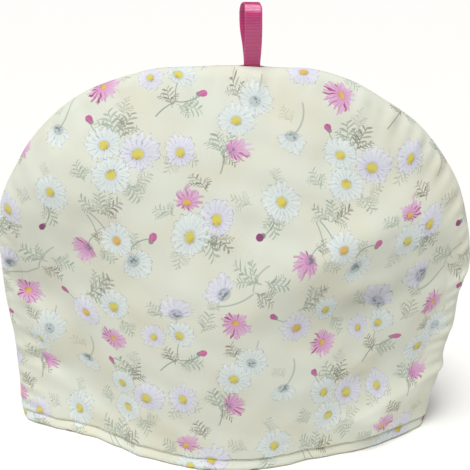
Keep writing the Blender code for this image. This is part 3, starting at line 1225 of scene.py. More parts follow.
def face_corners(mesh: bpy.types.Mesh, kinds: tuple[int, int, int, int]) -> tuple[np.ndarray, np.ndarray]:
    """Which point and which kind of face each face corner belongs to.

    Args:
        mesh: a panel's mesh.
        kinds: how many outer, hem, lining and seam faces it has; the rest are end caps.

    Returns:
        The index of each corner's point, and the number of its face's kind.
    """
    sizes = np.zeros(len(mesh.polygons), np.int32)
    mesh.polygons.foreach_get("loop_total", sizes)
    kind = np.repeat(list(FaceKind), [*kinds, len(sizes) - sum(kinds)])
    return corner_points(mesh), np.repeat(kind, sizes)


class Signal:
    """A value inside a material; arithmetic on it adds Math nodes to its tree."""

    def __init__(self, tree: bpy.types.NodeTree, socket: bpy.types.NodeSocket) -> None:
        """Wraps one output socket of a tree."""
        self.tree = tree
        self.socket = socket

    def math(self, operation: str, *others: "Signal | float") -> "Signal":
        """Result of one Math node with this value first and the others after it."""
        plugs = dict(enumerate((self, *others)))
        return Brush(self.tree).node("Math", plugs, operation=operation)

    def __add__(self, other: "Signal | float") -> "Signal":
        """Sum."""
        return self.math("ADD", other)

    def __sub__(self, other: "Signal | float") -> "Signal":
        """Difference."""
        return self.math("SUBTRACT", other)

    def __rsub__(self, other: float) -> "Signal":
        """A number less this value."""
        return self.math("MULTIPLY_ADD", -1.0, other)

    def __mul__(self, other: "Signal | float") -> "Signal":
        """Product."""
        return self.math("MULTIPLY", other)

    def __truediv__(self, other: "Signal | float") -> "Signal":
        """Quotient."""
        return self.math("DIVIDE", other)

    def __pow__(self, other: float) -> "Signal":
        """Power."""
        return self.math("POWER", other)

    def size(self) -> "Signal":
        """Absolute value."""
        return self.math("ABSOLUTE")

    def part(self) -> "Signal":
        """Fractional part."""
        return self.math("FRACT")

    def eased(self, low: float, high: float) -> "Signal":
        """Smooth step from 0 at low to 1 at high."""
        plugs = {0: self, 1: low, 2: high}
        return Brush(self.tree).node("MapRange", plugs, interpolation_type="SMOOTHSTEP")


class Brush:
    """Adds texture and mixing nodes to one tree."""

    def __init__(self, tree: bpy.types.NodeTree) -> None:
        """Works on the given tree."""
        self.tree = tree

    def connect(self, value: Signal | float | Colour, plug: bpy.types.NodeSocket) -> None:
        """Fills one input.

        Args:
            value: a signal to link to it, or a number or colour to set it to.
            plug: the input.
        """
        if isinstance(value, Signal):
            self.tree.links.new(value.socket, plug)
        elif isinstance(value, tuple):
            plug.default_value = (*value, 1.0)
        else:
            plug.default_value = value

    def fill(self, node: bpy.types.Node, plugs: dict) -> None:
        """Fills several inputs of a node, given by name or number."""
        for key, value in plugs.items():
            self.connect(value, node.inputs[key])

    def add(self, kind: str, plugs: dict, **options: object) -> bpy.types.Node:
        """Adds a node.

        Args:
            kind: the node's type, without the words that all types start with.
            plugs: what goes into its inputs, by name or number.
            options: its own settings, by name.

        Returns:
            The node.
        """
        node = self.tree.nodes.new(f"ShaderNode{kind}")
        for option, value in options.items():
            setattr(node, option, value)
        self.fill(node, plugs)
        return node

    def node(self, kind: str, plugs: dict, output: str | int = 0, **options: object) -> Signal:
        """Adds a node, as add does, and takes one of its outputs."""
        return Signal(self.tree, self.add(kind, plugs, **options).outputs[output])

    def attribute(self, name: str) -> Signal:
        """Vector attribute of the piece."""
        return self.node("Attribute", {}, "Vector", attribute_name=name)

    def split(self, vector: Signal) -> tuple[Signal, Signal, Signal]:
        """The three parts of a vector."""
        return tuple(Signal(self.tree, plug) for plug in self.add("SeparateXYZ", {0: vector}).outputs)

    def join(self, x: Signal | float, y: Signal | float, z: Signal | float = 0.0) -> Signal:
        """A vector from its parts."""
        return self.node("CombineXYZ", {0: x, 1: y, 2: z})

    def white(self, x: Signal, y: Signal) -> tuple[Signal, Signal, Signal]:
        """Three random numbers from 0 to 1 for a pair of numbers."""
        plugs = {"Vector": self.join(x, y)}
        return self.split(self.node("TexWhiteNoise", plugs, "Color", noise_dimensions="2D"))

    def noise(self, vector: Signal, scale: float, detail: float = 2.0, rough: float = 0.5) -> Signal:
        """Soft noise, mostly from 0.3 to 0.7."""
        plugs = {"Vector": vector, "Scale": scale, "Detail": detail, "Roughness": rough}
        return self.node("TexNoise", plugs, "Fac")

    def mix(self, share: Signal | float, low: Signal | Colour, high: Signal | Colour) -> Signal:
        """Colour between two colours."""
        return self.node("Mix", {0: share, 6: low, 7: high}, 2, data_type="RGBA")

    def bump(self, height: Signal, strength: float, depth: float) -> Signal:
        """Normal of a surface raised by height, at most by depth in metres."""
        return self.node("Bump", {"Strength": strength, "Distance": depth, "Height": height})


def new_material(name: str) -> tuple[bpy.types.Material, Brush, bpy.types.Node]:
    """Starts a material.

    Args:
        name: the material's name.

    Returns:
        The material, a brush on its tree and its shader.
    """
    material = bpy.data.materials.new(name)
    material.use_nodes = True
    tree = material.node_tree
    return material, Brush(tree), tree.nodes["Principled BSDF"]


def new_group(name: str) -> tuple[dict[str, Signal], Brush]:
    """Starts the node group of one kind of printed mark.

    Args:
        name: the group's name.

    Returns:
        Its inputs Ground, Place and Habit by name, and a brush on its tree.
    """
    tree = bpy.data.node_groups.new(name, "ShaderNodeTree")
    kinds = {"Ground": "NodeSocketColor", "Place": "NodeSocketVector", "Habit": "NodeSocketVector"}
    for label, kind in kinds.items():
        tree.interface.new_socket(label, in_out="INPUT", socket_type=kind)
    tree.interface.new_socket("Colour", in_out="OUTPUT", socket_type="NodeSocketColor")
    start = tree.nodes.new("NodeGroupInput")
    return {label: Signal(tree, start.outputs[label]) for label in kinds}, Brush(tree)


def end_group(colour: Signal) -> bpy.types.NodeTree:
    """Ends a group on its colour.

    Args:
        colour: what the group gives.

    Returns:
        The group's tree.
    """
    end = colour.tree.nodes.new("NodeGroupOutput")
    colour.tree.links.new(colour.socket, end.inputs["Colour"])
    return colour.tree


@dataclass(frozen=True)
class Bloom:
    """What one flower is drawn from, in its own frame.

    x, y, angle and radius are the place, petals is their number, tilt is how long they are in this
    direction, sector is the angle counted in petals, and heart is the heart's kind.
    """

    brush: Brush
    x: Signal
    y: Signal
    seed: Signal
    angle: Signal
    radius: Signal
    petals: Signal
    tilt: Signal
    sector: Signal
    heart: Signal

    def noise(self, scale: float, detail: float, rough: float = 0.5) -> Signal:
        """Noise over the flower, which differs from one flower to the next."""
        return self.brush.noise(self.brush.join(self.x, self.y, self.seed), scale, detail, rough)


@dataclass(frozen=True)
class FlowerPaint:
    """Colours and petal form of one kind of printed flower; lengths are shares of its radius."""

    name: str
    petal: Colour
    shade: Colour
    line: Colour
    streak: Colour
    line_strength: float
    streak_strength: float
    veins: float
    cover: float
    blunt: float
    blunt_power: float
    shortest: float
    heart_size: float
    blush: float
    yellow: Colour = srgb(224, 212, 102)
    orange: Colour = srgb(228, 190, 98)
    speck: Colour = srgb(166, 129, 64)
    calyx: Colour = srgb(108, 129, 124)
    wander: float = 1.4
    back_length: float = 0.92
    back_seed: float = 7.3
    back_shade: float = 0.8
    soft: float = 0.015
    bow: float = 0.16
    notch: float = 0.06
    line_width: float = 0.046
    shadow: float = 0.30

    def group(self) -> bpy.types.NodeTree:
        """Draws the flower in its own frame, where the longest petal's tip is at 1.

        The petal number and the place across it come from the angle times the petal count, with
        some noise. The layers are a back row of petals, the front row and the heart.

        Returns:
            The node group.
        """
        plug, brush = new_group(self.name)
        x, y, seed = brush.split(plug["Place"])
        petals, lean, heart = brush.split(plug["Habit"])
        radius = (x * x + y * y) ** 0.5
        angle = x.math("ARCTAN2", y)
        tilt = (angle.math("COSINE") * lean + 1.0) / (lean + 1.0)
        sway = brush.noise(brush.join(x, y, seed), 2.6) - 0.5
        sector = angle * petals * (0.5 / math.pi) + petals * 2.0 + sway * self.wander
        bloom = Bloom(brush, x, y, seed, angle, radius, petals, tilt, sector, heart)
        worn = bloom.noise(9.0, 2.0).eased(0.30, 0.55)
        colour = self.back_row(bloom, plug["Ground"])
        colour = self.front_row(bloom, worn, colour)
        return end_group(self.middle(bloom, worn, colour))

    def petal_edge(self, bloom: Bloom, sector: Signal, seed: Signal, scale: float) -> tuple:
        """Edge of the petal at one place.

        It is at length (1 - blunt |2 across|^power), less a notch at the petal's middle, and the
        length varies by white noise.

        Args:
            bloom: what the drawing works with.
            sector: angle counted in petals.
            seed: number of this row of petals.
            scale: length of this row of petals.

        Returns:
            The edge's radius, the place across the petal from -0.5 to 0.5, and two random numbers.
        """
        across = sector.part() - 0.5
        lucky, tint, third = bloom.brush.white(sector.math("FLOOR"), seed)
        length = (lucky * (1.0 - self.shortest) + self.shortest) * bloom.tilt * scale
        bow = (across + (third - 0.5) * self.bow).size() * 2.0
        notch = (1.0 - across.size().eased(0.02, 0.16)) * self.notch
        edge = length * (1.0 - bow.math("MINIMUM", 1.3) ** self.blunt_power * self.blunt - notch)
        return edge, across, lucky, tint

    def back_row(self, bloom: Bloom, ground: Signal | Colour) -> Signal:
        """Shaded and outlined petals half a petal round from the front ones.

        Args:
            bloom: what the drawing works with.
            ground: colour under the flower.

        Returns:
            The colour with these petals.
        """
        mix = bloom.brush.mix
        sector, seed = bloom.sector + 0.5, bloom.seed + self.back_seed
        edge, _, lucky, _ = self.petal_edge(bloom, sector, seed, self.back_length)
        gap = edge - bloom.radius
        outline = 1.0 - (gap - 0.02).size().eased(0.0, 0.035)
        body = mix(self.back_shade, self.petal, self.shade)
        body = mix(outline * self.line_strength * (lucky * 0.6 + 0.4), body, self.line)
        return mix(gap.eased(-self.soft, self.soft) * self.cover, ground, body)

    def front_row(self, bloom: Bloom, worn: Signal, under: Signal) -> Signal:
        """Petals with veins from the heart outwards, a blush on one side and a worn outline.

        Args:
            bloom: what the drawing works with.
            worn: how much of the outline's ink is left.
            under: colour under these petals.

        Returns:
            The colour with these petals.
        """
        mix, radius = bloom.brush.mix, bloom.radius
        edge, across, lucky, tint = self.petal_edge(bloom, bloom.sector, bloom.seed, 1.0)
        far_in = radius / bloom.tilt
        body = mix(far_in.eased(0.20, 0.75) * 0.9 + 0.1, self.shade, self.petal)
        vein = 1.0 - ((across * self.veins + self.veins / 2).part() - 0.5).size().eased(0.09, 0.31)
        streak = vein * far_in.eased(0.20, 0.42) * (1.0 - far_in.eased(0.72, 1.04)) * self.streak_strength
        glow = (bloom.x * 0.7 - bloom.y * 0.7).eased(-0.7, 0.5) * 0.7 + 0.35
        body = mix(glow * self.blush, body, self.shade)
        body = mix(streak * glow * (tint * 1.5).math("MAXIMUM", 0.42), body, self.streak)
        apart = (0.5 - across.size()) * radius / bloom.petals * (2 * math.pi)
        border = (edge - radius).math("MINIMUM", apart * (far_in.eased(0.1, 0.6) * -2.0 + 3.0))
        outline = (1.0 - border.eased(0.008, self.line_width)) * far_in.eased(0.24, 0.50)
        body = mix(outline * worn * self.line_strength * (lucky * 0.5 + 0.6), body, self.line)
        return mix((edge - radius).eased(-self.soft, 0.02) * self.cover, under, body)

    def middle(self, bloom: Bloom, worn: Signal, under: Signal) -> Signal:
        """Heart of the flower with the shadow round it: a disc with specks, or strokes of the calyx.

        Args:
            bloom: what the drawing works with.
            worn: noise that makes the rim uneven.
            under: colour under the heart.

        Returns:
            The colour with the heart.
        """
        brush, x, y = bloom.brush, bloom.x, bloom.y
        core = self.heart_colour(bloom)
        rim = bloom.radius / self.heart_size + (worn - 0.5) * 0.16
        behind_view = bloom.heart.eased(*CALYX_STEP)
        colour = brush.mix((1.0 - rim.eased(1.0, 1.5)) * self.shadow, under, self.line)
        dots = brush.noise(brush.join(x, y, bloom.seed + 3.0), 15.0, 0.0).eased(0.60, 0.68)
        strokes = bloom.noise(9.0, 0.0).eased(0.50, 0.56)
        cluster = (1.0 - rim.eased(0.5, 1.4)) * (strokes * 0.7 + 0.1)
        disc = 1.0 - rim.eased(0.80, 1.08)
        colour = brush.mix(disc + (cluster - disc) * behind_view, colour, core)
        ring = (1.0 - (rim - 1.02).size().eased(0.10, 0.28)) * (1.0 - behind_view)
        side = (x * -0.5 - y * 0.7 + self.heart_size * 0.6).eased(0.0, self.heart_size)
        return brush.mix(dots * ring * side * 0.8, colour, self.speck)

    def heart_colour(self, bloom: Bloom) -> Signal:
        """Colour of the heart: speckled yellow or orange, or the calyx seen from behind.

        Args:
            bloom: what the drawing works with.

        Returns:
            The colour.
        """
        mix = bloom.brush.mix
        grain = bloom.noise(16.0, 1.0, 0.6)
        disc = mix(bloom.heart.math("MINIMUM", 1.0), self.yellow, self.orange)
        low_side = (bloom.x * 0.6 - bloom.y) / self.heart_size * 0.5
        disc = mix((low_side + grain).eased(0.55, 1.1) * 0.6, disc, self.speck)
        return mix(bloom.heart.eased(*CALYX_STEP), disc, self.calyx)


DAISY_PAINT = FlowerPaint(
    "printed_daisy", petal=srgb(237, 244, 241), shade=srgb(226, 235, 232), line=srgb(124, 139, 158),
    streak=srgb(188, 202, 212), line_strength=0.90, streak_strength=0.36, veins=2.0, cover=0.87,
    blunt=0.66, blunt_power=2.1, shortest=0.76, heart_size=0.22, blush=0.20,
)
LILAC_PAINT = FlowerPaint(
    "printed_lilac_daisy", petal=srgb(238, 241, 245), shade=srgb(227, 226, 240), line=srgb(134, 136, 168),
    streak=srgb(196, 194, 220), line_strength=0.90, streak_strength=0.42, veins=2.0, cover=0.85,
    blunt=0.66, blunt_power=2.1, shortest=0.76, heart_size=0.22, blush=0.50,
)
PINK_PAINT = FlowerPaint(
    "printed_pink", petal=srgb(243, 228, 243), shade=srgb(226, 160, 208), line=srgb(188, 112, 172),
    streak=srgb(160, 14, 108), line_strength=0.60, streak_strength=1.0, veins=1.0, cover=0.90,
    blunt=0.72, blunt_power=1.7, shortest=0.62, heart_size=0.18, blush=0.36,
)


@dataclass(frozen=True)
class SprigPaint:
    """Colours and leaf form of the printed foliage; lengths are shares of the sprig's."""

    sage: Colour = srgb(152, 171, 156)
    brown: Colour = srgb(127, 117, 102)
    light: Colour = srgb(193, 204, 191)
    needles: float = 5.0
    rise: float = 0.9
    thickness: float = 0.088
    bend: float = 0.22
    wander: float = 0.20
    stalk: float = 0.020
    branch_stalk: float = 0.030
    branch_turn: float = 42.0
    branch_size: float = 0.64
    branch_foot: float = 0.06
    branch_step: float = 0.18

    def group(self) -> bpy.types.NodeTree:
        """Draws a feathery sprig from (0, 0) to (0, 1) in its own frame.

        A bent stem carries needles on both sides, and one side branch on each side carries its own.

        Returns:
            The node group.
        """
        plug, brush = new_group("printed_sprig")
        x, y, seed = brush.split(plug["Place"])
        width, tone, strength = brush.split(plug["Habit"])
        sway = brush.noise(brush.join(x, y, seed), 3.1, 1.0) - 0.5
        bend = (seed * 1.7).math("SINE") * self.bend
        x = x - bend * y * y + sway * self.wander
        main, tint = self.frond(brush, x, y, width, seed, self.stalk)
        left = x.math("LESS_THAN", 0.0)
        turn = math.radians(self.branch_turn)
        out = x.size() / self.branch_size
        up = (y - left * self.branch_step - self.branch_foot) / self.branch_size
        along = out * math.sin(turn) + up * math.cos(turn)
        aside = out * math.cos(turn) - up * math.sin(turn)
        luck = seed + left * 3.0 + 5.0
        branch, _ = self.frond(brush, aside, along, width * 0.9, luck, self.branch_stalk)
        shade = brush.mix(tone, self.sage, self.brown)
        shade = brush.mix(tint * 0.5, shade, self.light)
        cover = main.math("MAXIMUM", branch * 0.85) * strength * (tint * -0.25 + 1.0)
        return end_group(brush.mix(cover, plug["Ground"], shade))

    def frond(self, brush: Brush, x: Signal, y: Signal, width: Signal, seed: Signal, stalk: float) -> tuple:
        """One straight frond from (0, 0) to (0, 1).

        The needle number is the height where it leaves the stem, y - rise |x| + |x|^2, times the
        needle count; each is a lens, thinner towards its tip, and its length varies by white noise
        within an envelope that closes at the foot and the tip.

        Args:
            brush: brush on the group.
            x, y: the place in the frond's frame.
            width: length of the longest needles.
            seed: the frond's number.
            stalk: thickness of its stem.

        Returns:
            How much the frond covers, and one random number for its needle.
        """
        left = x.math("LESS_THAN", 0.0)
        out = x.size()
        leaves = y - out * self.rise + out * out
        count = leaves * self.needles + left * 0.5
        lucky, tint, third = brush.white(count.math("FLOOR") + left * 31.0, seed)
        envelope = (leaves * (1.0 - leaves) * 4.0).math("MAXIMUM", 0.02) ** 0.5
        length = width * envelope * (lucky * 0.5 + 0.55)
        share = (out / length).math("MINIMUM", 1.0)
        waist = (1.0 - share * share) * (share * 0.9 + 0.30) * self.thickness * (third * 0.6 + 0.6)
        beside = (count.part() - 0.5).size() / self.needles
        needle = (waist - beside).eased(-0.008, 0.012) * leaves.eased(0.0, 0.05)
        needle = needle * (1.0 - leaves.eased(0.95, 1.0))
        stem = 1.0 - out.eased(stalk * 0.5, stalk * 1.4)
        stem = stem * y.eased(-0.10, -0.02) * (1.0 - y.eased(0.88, 1.0))
        return needle.math("MAXIMUM", stem * 0.85), tint


@dataclass(frozen=True)
class StemPaint:
    """Colours and thickness of the printed stems."""

    green: Colour = srgb(153, 170, 160)
    brown: Colour = srgb(138, 129, 119)
    core: float = 0.012
    half_thickness: float = 0.036

    def group(self) -> bpy.types.NodeTree:
        """Draws one line from (0, 0) to (0, 1), bent as 4 bend y (1 - y).

        Returns:
            The node group.
        """
        plug, brush = new_group("printed_stem")
        x, y, _ = brush.split(plug["Place"])
        bend, tone, strength = brush.split(plug["Habit"])
        off = (x - bend * y * (1.0 - y) * 4.0).size()
        line = 1.0 - off.eased(self.core, self.half_thickness)
        line = line * y.eased(-0.03, 0.02) * (1.0 - y.eased(0.97, 1.03))
        shade = brush.mix(tone, self.green, self.brown)
        return end_group(brush.mix(line * strength, plug["Ground"], shade))


@dataclass(frozen=True)
class BudPaint:
    """Colours of the printed buds."""

    magenta: Colour = srgb(208, 112, 166)
    purple: Colour = srgb(148, 74, 124)
    light: Colour = srgb(230, 152, 194)
    sepal: Colour = srgb(124, 139, 126)

    def group(self) -> bpy.types.NodeTree:
        """Draws a bud pointing up: a magenta egg with a paler petal fold, on a small green sepal cup.

        Returns:
            The node group.
        """
        plug, brush = new_group("printed_bud")
        x, y, seed = brush.split(plug["Place"])
        tone, _, _ = brush.split(plug["Habit"])
        grain = brush.noise(brush.join(x, y, seed), 1.6)
        egg = (x * x * 1.15 + y * y * 0.80) ** 0.5 + (grain - 0.5) * 0.3
        cup = (x * x * 1.9 + (y + 1.0) * (y + 1.0) * 1.5) ** 0.5
        colour = brush.mix((1.0 - cup.eased(0.75, 0.98)) * 0.85, plug["Ground"], self.sepal)
        body = brush.mix(tone, self.magenta, self.purple)
        fold = (1.0 - (x + y * 0.35 + 0.25).size().eased(0.08, 0.30)) * 0.35
        body = brush.mix(fold * (1.0 - tone), body, self.light)
        body = brush.mix(grain.eased(0.5, 0.75) * 0.35, body, self.purple)
        return end_group(brush.mix(1.0 - egg.eased(0.86, 1.02), colour, body))


@dataclass(frozen=True)
class PrintedCotton:
    """Cream quilting cotton with the flower print on its outer face, and plain cotton inside."""

    ground: Colour = srgb(229, 233, 219)
    warm: Colour = srgb(228, 227, 208)
    inside: Colour = srgb(240, 238, 224)
    blotch_scale: float = 22.0
    thread: float = 0.00055
    along_slub: float = 90.0
    across_slub: float = 1400.0
    weave_share: float = 0.35
    bump_strength: float = 0.35
    bump_depth: float = 0.00012
    roughness: float = 0.88
    specular: float = 0.25
    sheen: float = 0.12
    sheen_roughness: float = 0.6

    def material(self) -> bpy.types.Material:
        """Lays the print's layers over the ground from the foliage up, and bumps the plain weave.

        Returns:
            The material.
        """
        material, brush, shader = new_material("printed_cotton")
        cloth = brush.node("UVMap", {}, uv_map="cloth")
        blotch = brush.noise(cloth, self.blotch_scale, 3.0)
        colour = brush.mix(blotch.eased(0.35, 0.70), self.ground, self.warm)
        foliage, daisy = SprigPaint().group(), DAISY_PAINT.group()
        groups = {"stem": StemPaint().group(), "sage": foliage, "brown": foliage, "low": daisy,
                  "mid": LILAC_PAINT.group(), "high": daisy, "pink": PINK_PAINT.group(),
                  "bud": BudPaint().group()}
        for name in PRINT_LAYERS:
            place, habit = (brush.attribute(f"{name}_{part}") for part in ("at", "of"))
            plugs = {"Ground": colour, "Place": place, "Habit": habit}
            colour = brush.node("Group", plugs, "Colour", node_tree=groups[name])
        lining = brush.node("Attribute", {}, "Fac", attribute_name="lining")
        brush.fill(shader, {
            "Base Color": brush.mix(lining, colour, self.inside),
            "Normal": self.weave(brush, cloth),
            "Roughness": self.roughness,
            "Specular IOR Level": self.specular,
            "Sheen Weight": self.sheen,
            "Sheen Roughness": self.sheen_roughness,
        })
        return material

    def weave(self, brush: Brush, cloth: Signal) -> Signal:
        """Bump of the plain weave: sine of warp times sine of weft, with soft slubs along both.

        Args:
            brush: brush on the material.
            cloth: flat place on the cloth, in metres.

        Returns:
            The bumped normal.
        """
        u, v, _ = brush.split(cloth)
        turn = math.pi / self.thread
        weave = (u * turn).math("SINE") * (v * turn).math("SINE")
        warp = brush.noise(brush.join(u * self.across_slub, v * self.along_slub), 1.0)
        weft = brush.noise(brush.join(u * self.along_slub, v * self.across_slub), 1.0)
        return brush.bump(weave * self.weave_share + warp + weft, self.bump_strength, self.bump_depth)


@dataclass
class RibbonLoop:
    """Grosgrain ribbon folded over at the crown, with ribs across it and a woven edge on both sides.

    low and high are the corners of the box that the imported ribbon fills.
    """

    low: Vector
    high: Vector
    solid_thickness: float = 0.0010
    thickness: float = 0.00062
    rib: float = 0.0009
    rib_height: float = 0.00012
    rib_at_edge: float = 0.35
    scallop: float = 0.00014
    selvedge: float = 0.0009
    thin_edge: float = 0.25
    tail_depth: float = 0.0080
    tail_y: float = 0.0007
    breadth: float = 1.03
    open_from: float = 0.001
    open_to: float = 0.010
    rounding: float = 0.10
    bend: float = 0.0016
    arch: float = 0.0070
    opening: float = 0.0030
    bow_power: float = 0.9
    front_sway: float = 0.0004
    back_sway: float = -0.0030
    back_lean: float = 0.35
    lean_power: float = 1.5
    lean_height: float = 0.6
    rows_per_rib: int = 6
    columns: int = 14
    dense: int = 2000
    sharp_angle: float = 70.0
    foot: float = field(init=False)
    half_width: float = field(init=False)

    def __post_init__(self) -> None:
        """Works out where the ribbon leaves the seam and half its width."""
        self.foot = self.low.z + self.tail_depth
        self.half_width = (self.high.x - self.low.x) / 2

    def centre_line(self) -> np.ndarray:
        """Dense centre line from the front tail over the crown to the back tail.

        Each strand bows out as tail y + (spread - tail y) sin^2(rise pi / 2) and meets a half ellipse
        at the crown, spread deep and arch high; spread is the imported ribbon's half depth and the
        opening. The front strand sways across as sin^2 of its height. Behind it the ribbon leans to
        the left as (depth behind the front strand)^lean_power, by back_lean or more in the back
        strand, and fades out at the foot.

        Returns:
            Rows of X, Y and Z.
        """
        spread = self.high.y - self.solid_thickness / 2 + self.opening
        crown = self.high.z - self.solid_thickness / 2 - self.arch
        rise = np.linspace(0.0, 1.0, self.dense)
        z_up = self.foot + (crown - self.foot) * rise
        y_up = self.tail_y + (spread - self.tail_y) * np.sin(rise * math.pi / 2) ** 2
        swing = np.linspace(0.0, math.pi, self.dense)[1:-1]
        over = crown + self.arch * np.sin(swing)
        y = np.concatenate([[-self.tail_y], -y_up, -spread * np.cos(swing), y_up[::-1], [self.tail_y]])
        z = np.concatenate([[self.low.z], z_up, over, z_up[::-1], [self.low.z]])
        height = np.clip((z - self.foot) / (self.high.z - self.foot), 0.0, 1.0)
        bow = np.sin(math.pi * height**self.bow_power) ** 2
        behind = np.clip(0.5 + 0.5 * y / spread, 0.0, 1.0) ** self.lean_power
        in_front = behind * smooth_step(height, self.lean_height, 1.0)
        lean = np.where(y < 0.0, in_front, np.maximum(behind, self.back_lean))
        lean = self.back_sway * lean * smooth_step(height, 0.0, self.lean_height)
        middle = (self.low.x + self.high.x) / 2
        return np.stack([middle + (self.front_sway * bow * (y < 0.0) + lean), y, z], axis=1)

    def section(self, at: np.ndarray, height: np.ndarray) -> tuple[np.ndarray, np.ndarray, np.ndarray]:
        """Ribbed cross-section along the run.

        Half the thickness grows by rib height |sin| of the run, less near the edges, and half the
        width by scallop |sin|. Above the seam the ribbon opens to its full breadth, and its edges
        curl in by rounding exp(-(drop / bend)^2) over the crown.

        Args:
            at: running lengths.
            height: height of the centre line there.

        Returns:
            Share of the half width of each column, and the places across and half the thickness as
            rows of columns.
        """
        across = np.sin(np.linspace(-math.pi / 2, math.pi / 2, self.columns + 1))
        rib = np.abs(np.sin(math.pi * at / self.rib))[:, None]
        inward = np.minimum((1.0 - np.abs(across)) * self.half_width / self.selvedge, 1.0)
        bulge = quarter_round(inward)
        thick = (self.thickness / 2 - self.rib_height) * np.maximum(bulge, self.thin_edge)
        thick = thick + self.rib_height * rib * (self.rib_at_edge + (1.0 - self.rib_at_edge) * bulge)
        width = (self.half_width + self.scallop * (rib - 1.0) * (1.0 - inward)) * across
        opened = smooth_step(height, self.foot + self.open_from, self.foot + self.open_to)
        curled = self.rounding * np.exp(-(((self.high.z - height) / self.bend) ** 2))
        return across, width * (1.0 + (self.breadth - 1.0) * opened - curled)[:, None], thick

    def build(self, material: bpy.types.Material) -> bpy.types.Object:
        """Carries the cross-section along the centre line, closes both ends and dresses the ribbon.

        Args:
            material: the grosgrain.

        Returns:
            The finished ribbon.
        """
        line = self.centre_line()
        run = running_length(line)
        length = float(run[-1])
        rows = int(length / self.rib) * self.rows_per_rib
        at = np.linspace(0.0, length, rows + 1)
        centre = points_along(line, run, at)
        tangent = np.gradient(centre, axis=0)
        normal = unit(np.stack([np.zeros(rows + 1), -tangent[:, 2], tangent[:, 1]], axis=1))
        across, width, thick = self.section(at, centre[:, 2])
        place = centre[:, None, :] + width[..., None] * np.array([1.0, 0.0, 0.0])
        lift = thick[..., None] * normal[:, None, :]
        ring = np.concatenate([place + lift, (place - lift)[:, ::-1]], axis=1)
        count = ring.shape[1]
        index = np.arange((rows + 1) * count).reshape(-1, count)
        caps = [index[0, ::-1].tolist(), index[-1].tolist()]
        piece = make_piece("grosgrain_loop", ring.reshape(-1, 3), tube_faces(index).tolist() + caps)
        corner = corner_points(piece.data)
        u = np.concatenate([across, across[::-1]])[corner % count] * self.half_width
        add_map(piece.data, "ribbon", np.stack([u, at[corner // count]], axis=1))
        piece.data.set_sharp_from_angle(angle=math.radians(self.sharp_angle))
        dress(piece, material)
        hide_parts("ribbon_loop")
        return piece


@dataclass(frozen=True)
class Grosgrain:
    """Raspberry grosgrain: satin ribs with painted shade in the grooves between them, and a painted highlight
    on the rib crests along both edges.
    """

    rib_colour: Colour = srgb(222, 68, 140)
    # Painted shade in the grooves between the ribs; the random mottle is also drawn towards this colour.
    groove_shade_and_mottle_colour: Colour = srgb(166, 36, 92)
    # Painted highlight on the rib crests near both edges of the ribbon.
    edge_highlight_colour: Colour = srgb(236, 116, 172)
    edge_from: float = 0.0007
    edge_to: float = 0.0003
    edge_highlight_share: float = 0.6
    mottle_share: float = 0.25
    bump_strength: float = 0.3
    bump_depth: float = 0.00006
    roughness: float = 0.24
    specular: float = 0.75
    sheen: float = 0.75
    sheen_tint: Colour = (0.85, 0.70, 1.0)
    sheen_roughness: float = 0.4

    def material(self, loop: RibbonLoop) -> bpy.types.Material:
        """Paints shade into the grooves by |sin| of the ribbon's run and highlights onto the rib crests near
        its edges by the place across, and adds random mottle.

        Args:
            loop: the ribbon that it is for.

        Returns:
            The material.
        """
        material, brush, shader = new_material("raspberry_grosgrain")
        across, along, _ = brush.split(brush.node("UVMap", {}, uv_map="ribbon"))
        rib = (along * (math.pi / loop.rib)).math("SINE").size()
        # Painted shade: the grooves between the ribs are drawn darker than the crests.
        colour = brush.mix(rib.eased(0.15, 0.80), self.groove_shade_and_mottle_colour, self.rib_colour)
        # Painted highlight: the rib crests near both edges are drawn brighter.
        edge = across.size().eased(loop.half_width - self.edge_from, loop.half_width - self.edge_to)
        colour = brush.mix(edge * rib * self.edge_highlight_share, colour, self.edge_highlight_colour)
        mottle = brush.noise(brush.join(across * 120.0, along * 900.0), 1.0)
        colour = brush.mix(mottle.eased(0.4, 0.8) * self.mottle_share, colour, self.groove_shade_and_mottle_colour)
        yarn = brush.noise(brush.join(across * 5000.0, along * 1200.0), 1.0, 1.0)
        brush.fill(shader, {
            "Base Color": colour,
            "Normal": brush.bump(yarn, self.bump_strength, self.bump_depth),
            "Roughness": self.roughness,
            "Specular IOR Level": self.specular,
            "Sheen Weight": self.sheen,
            "Sheen Tint": self.sheen_tint,
            "Sheen Roughness": self.sheen_roughness,
        })
        return material


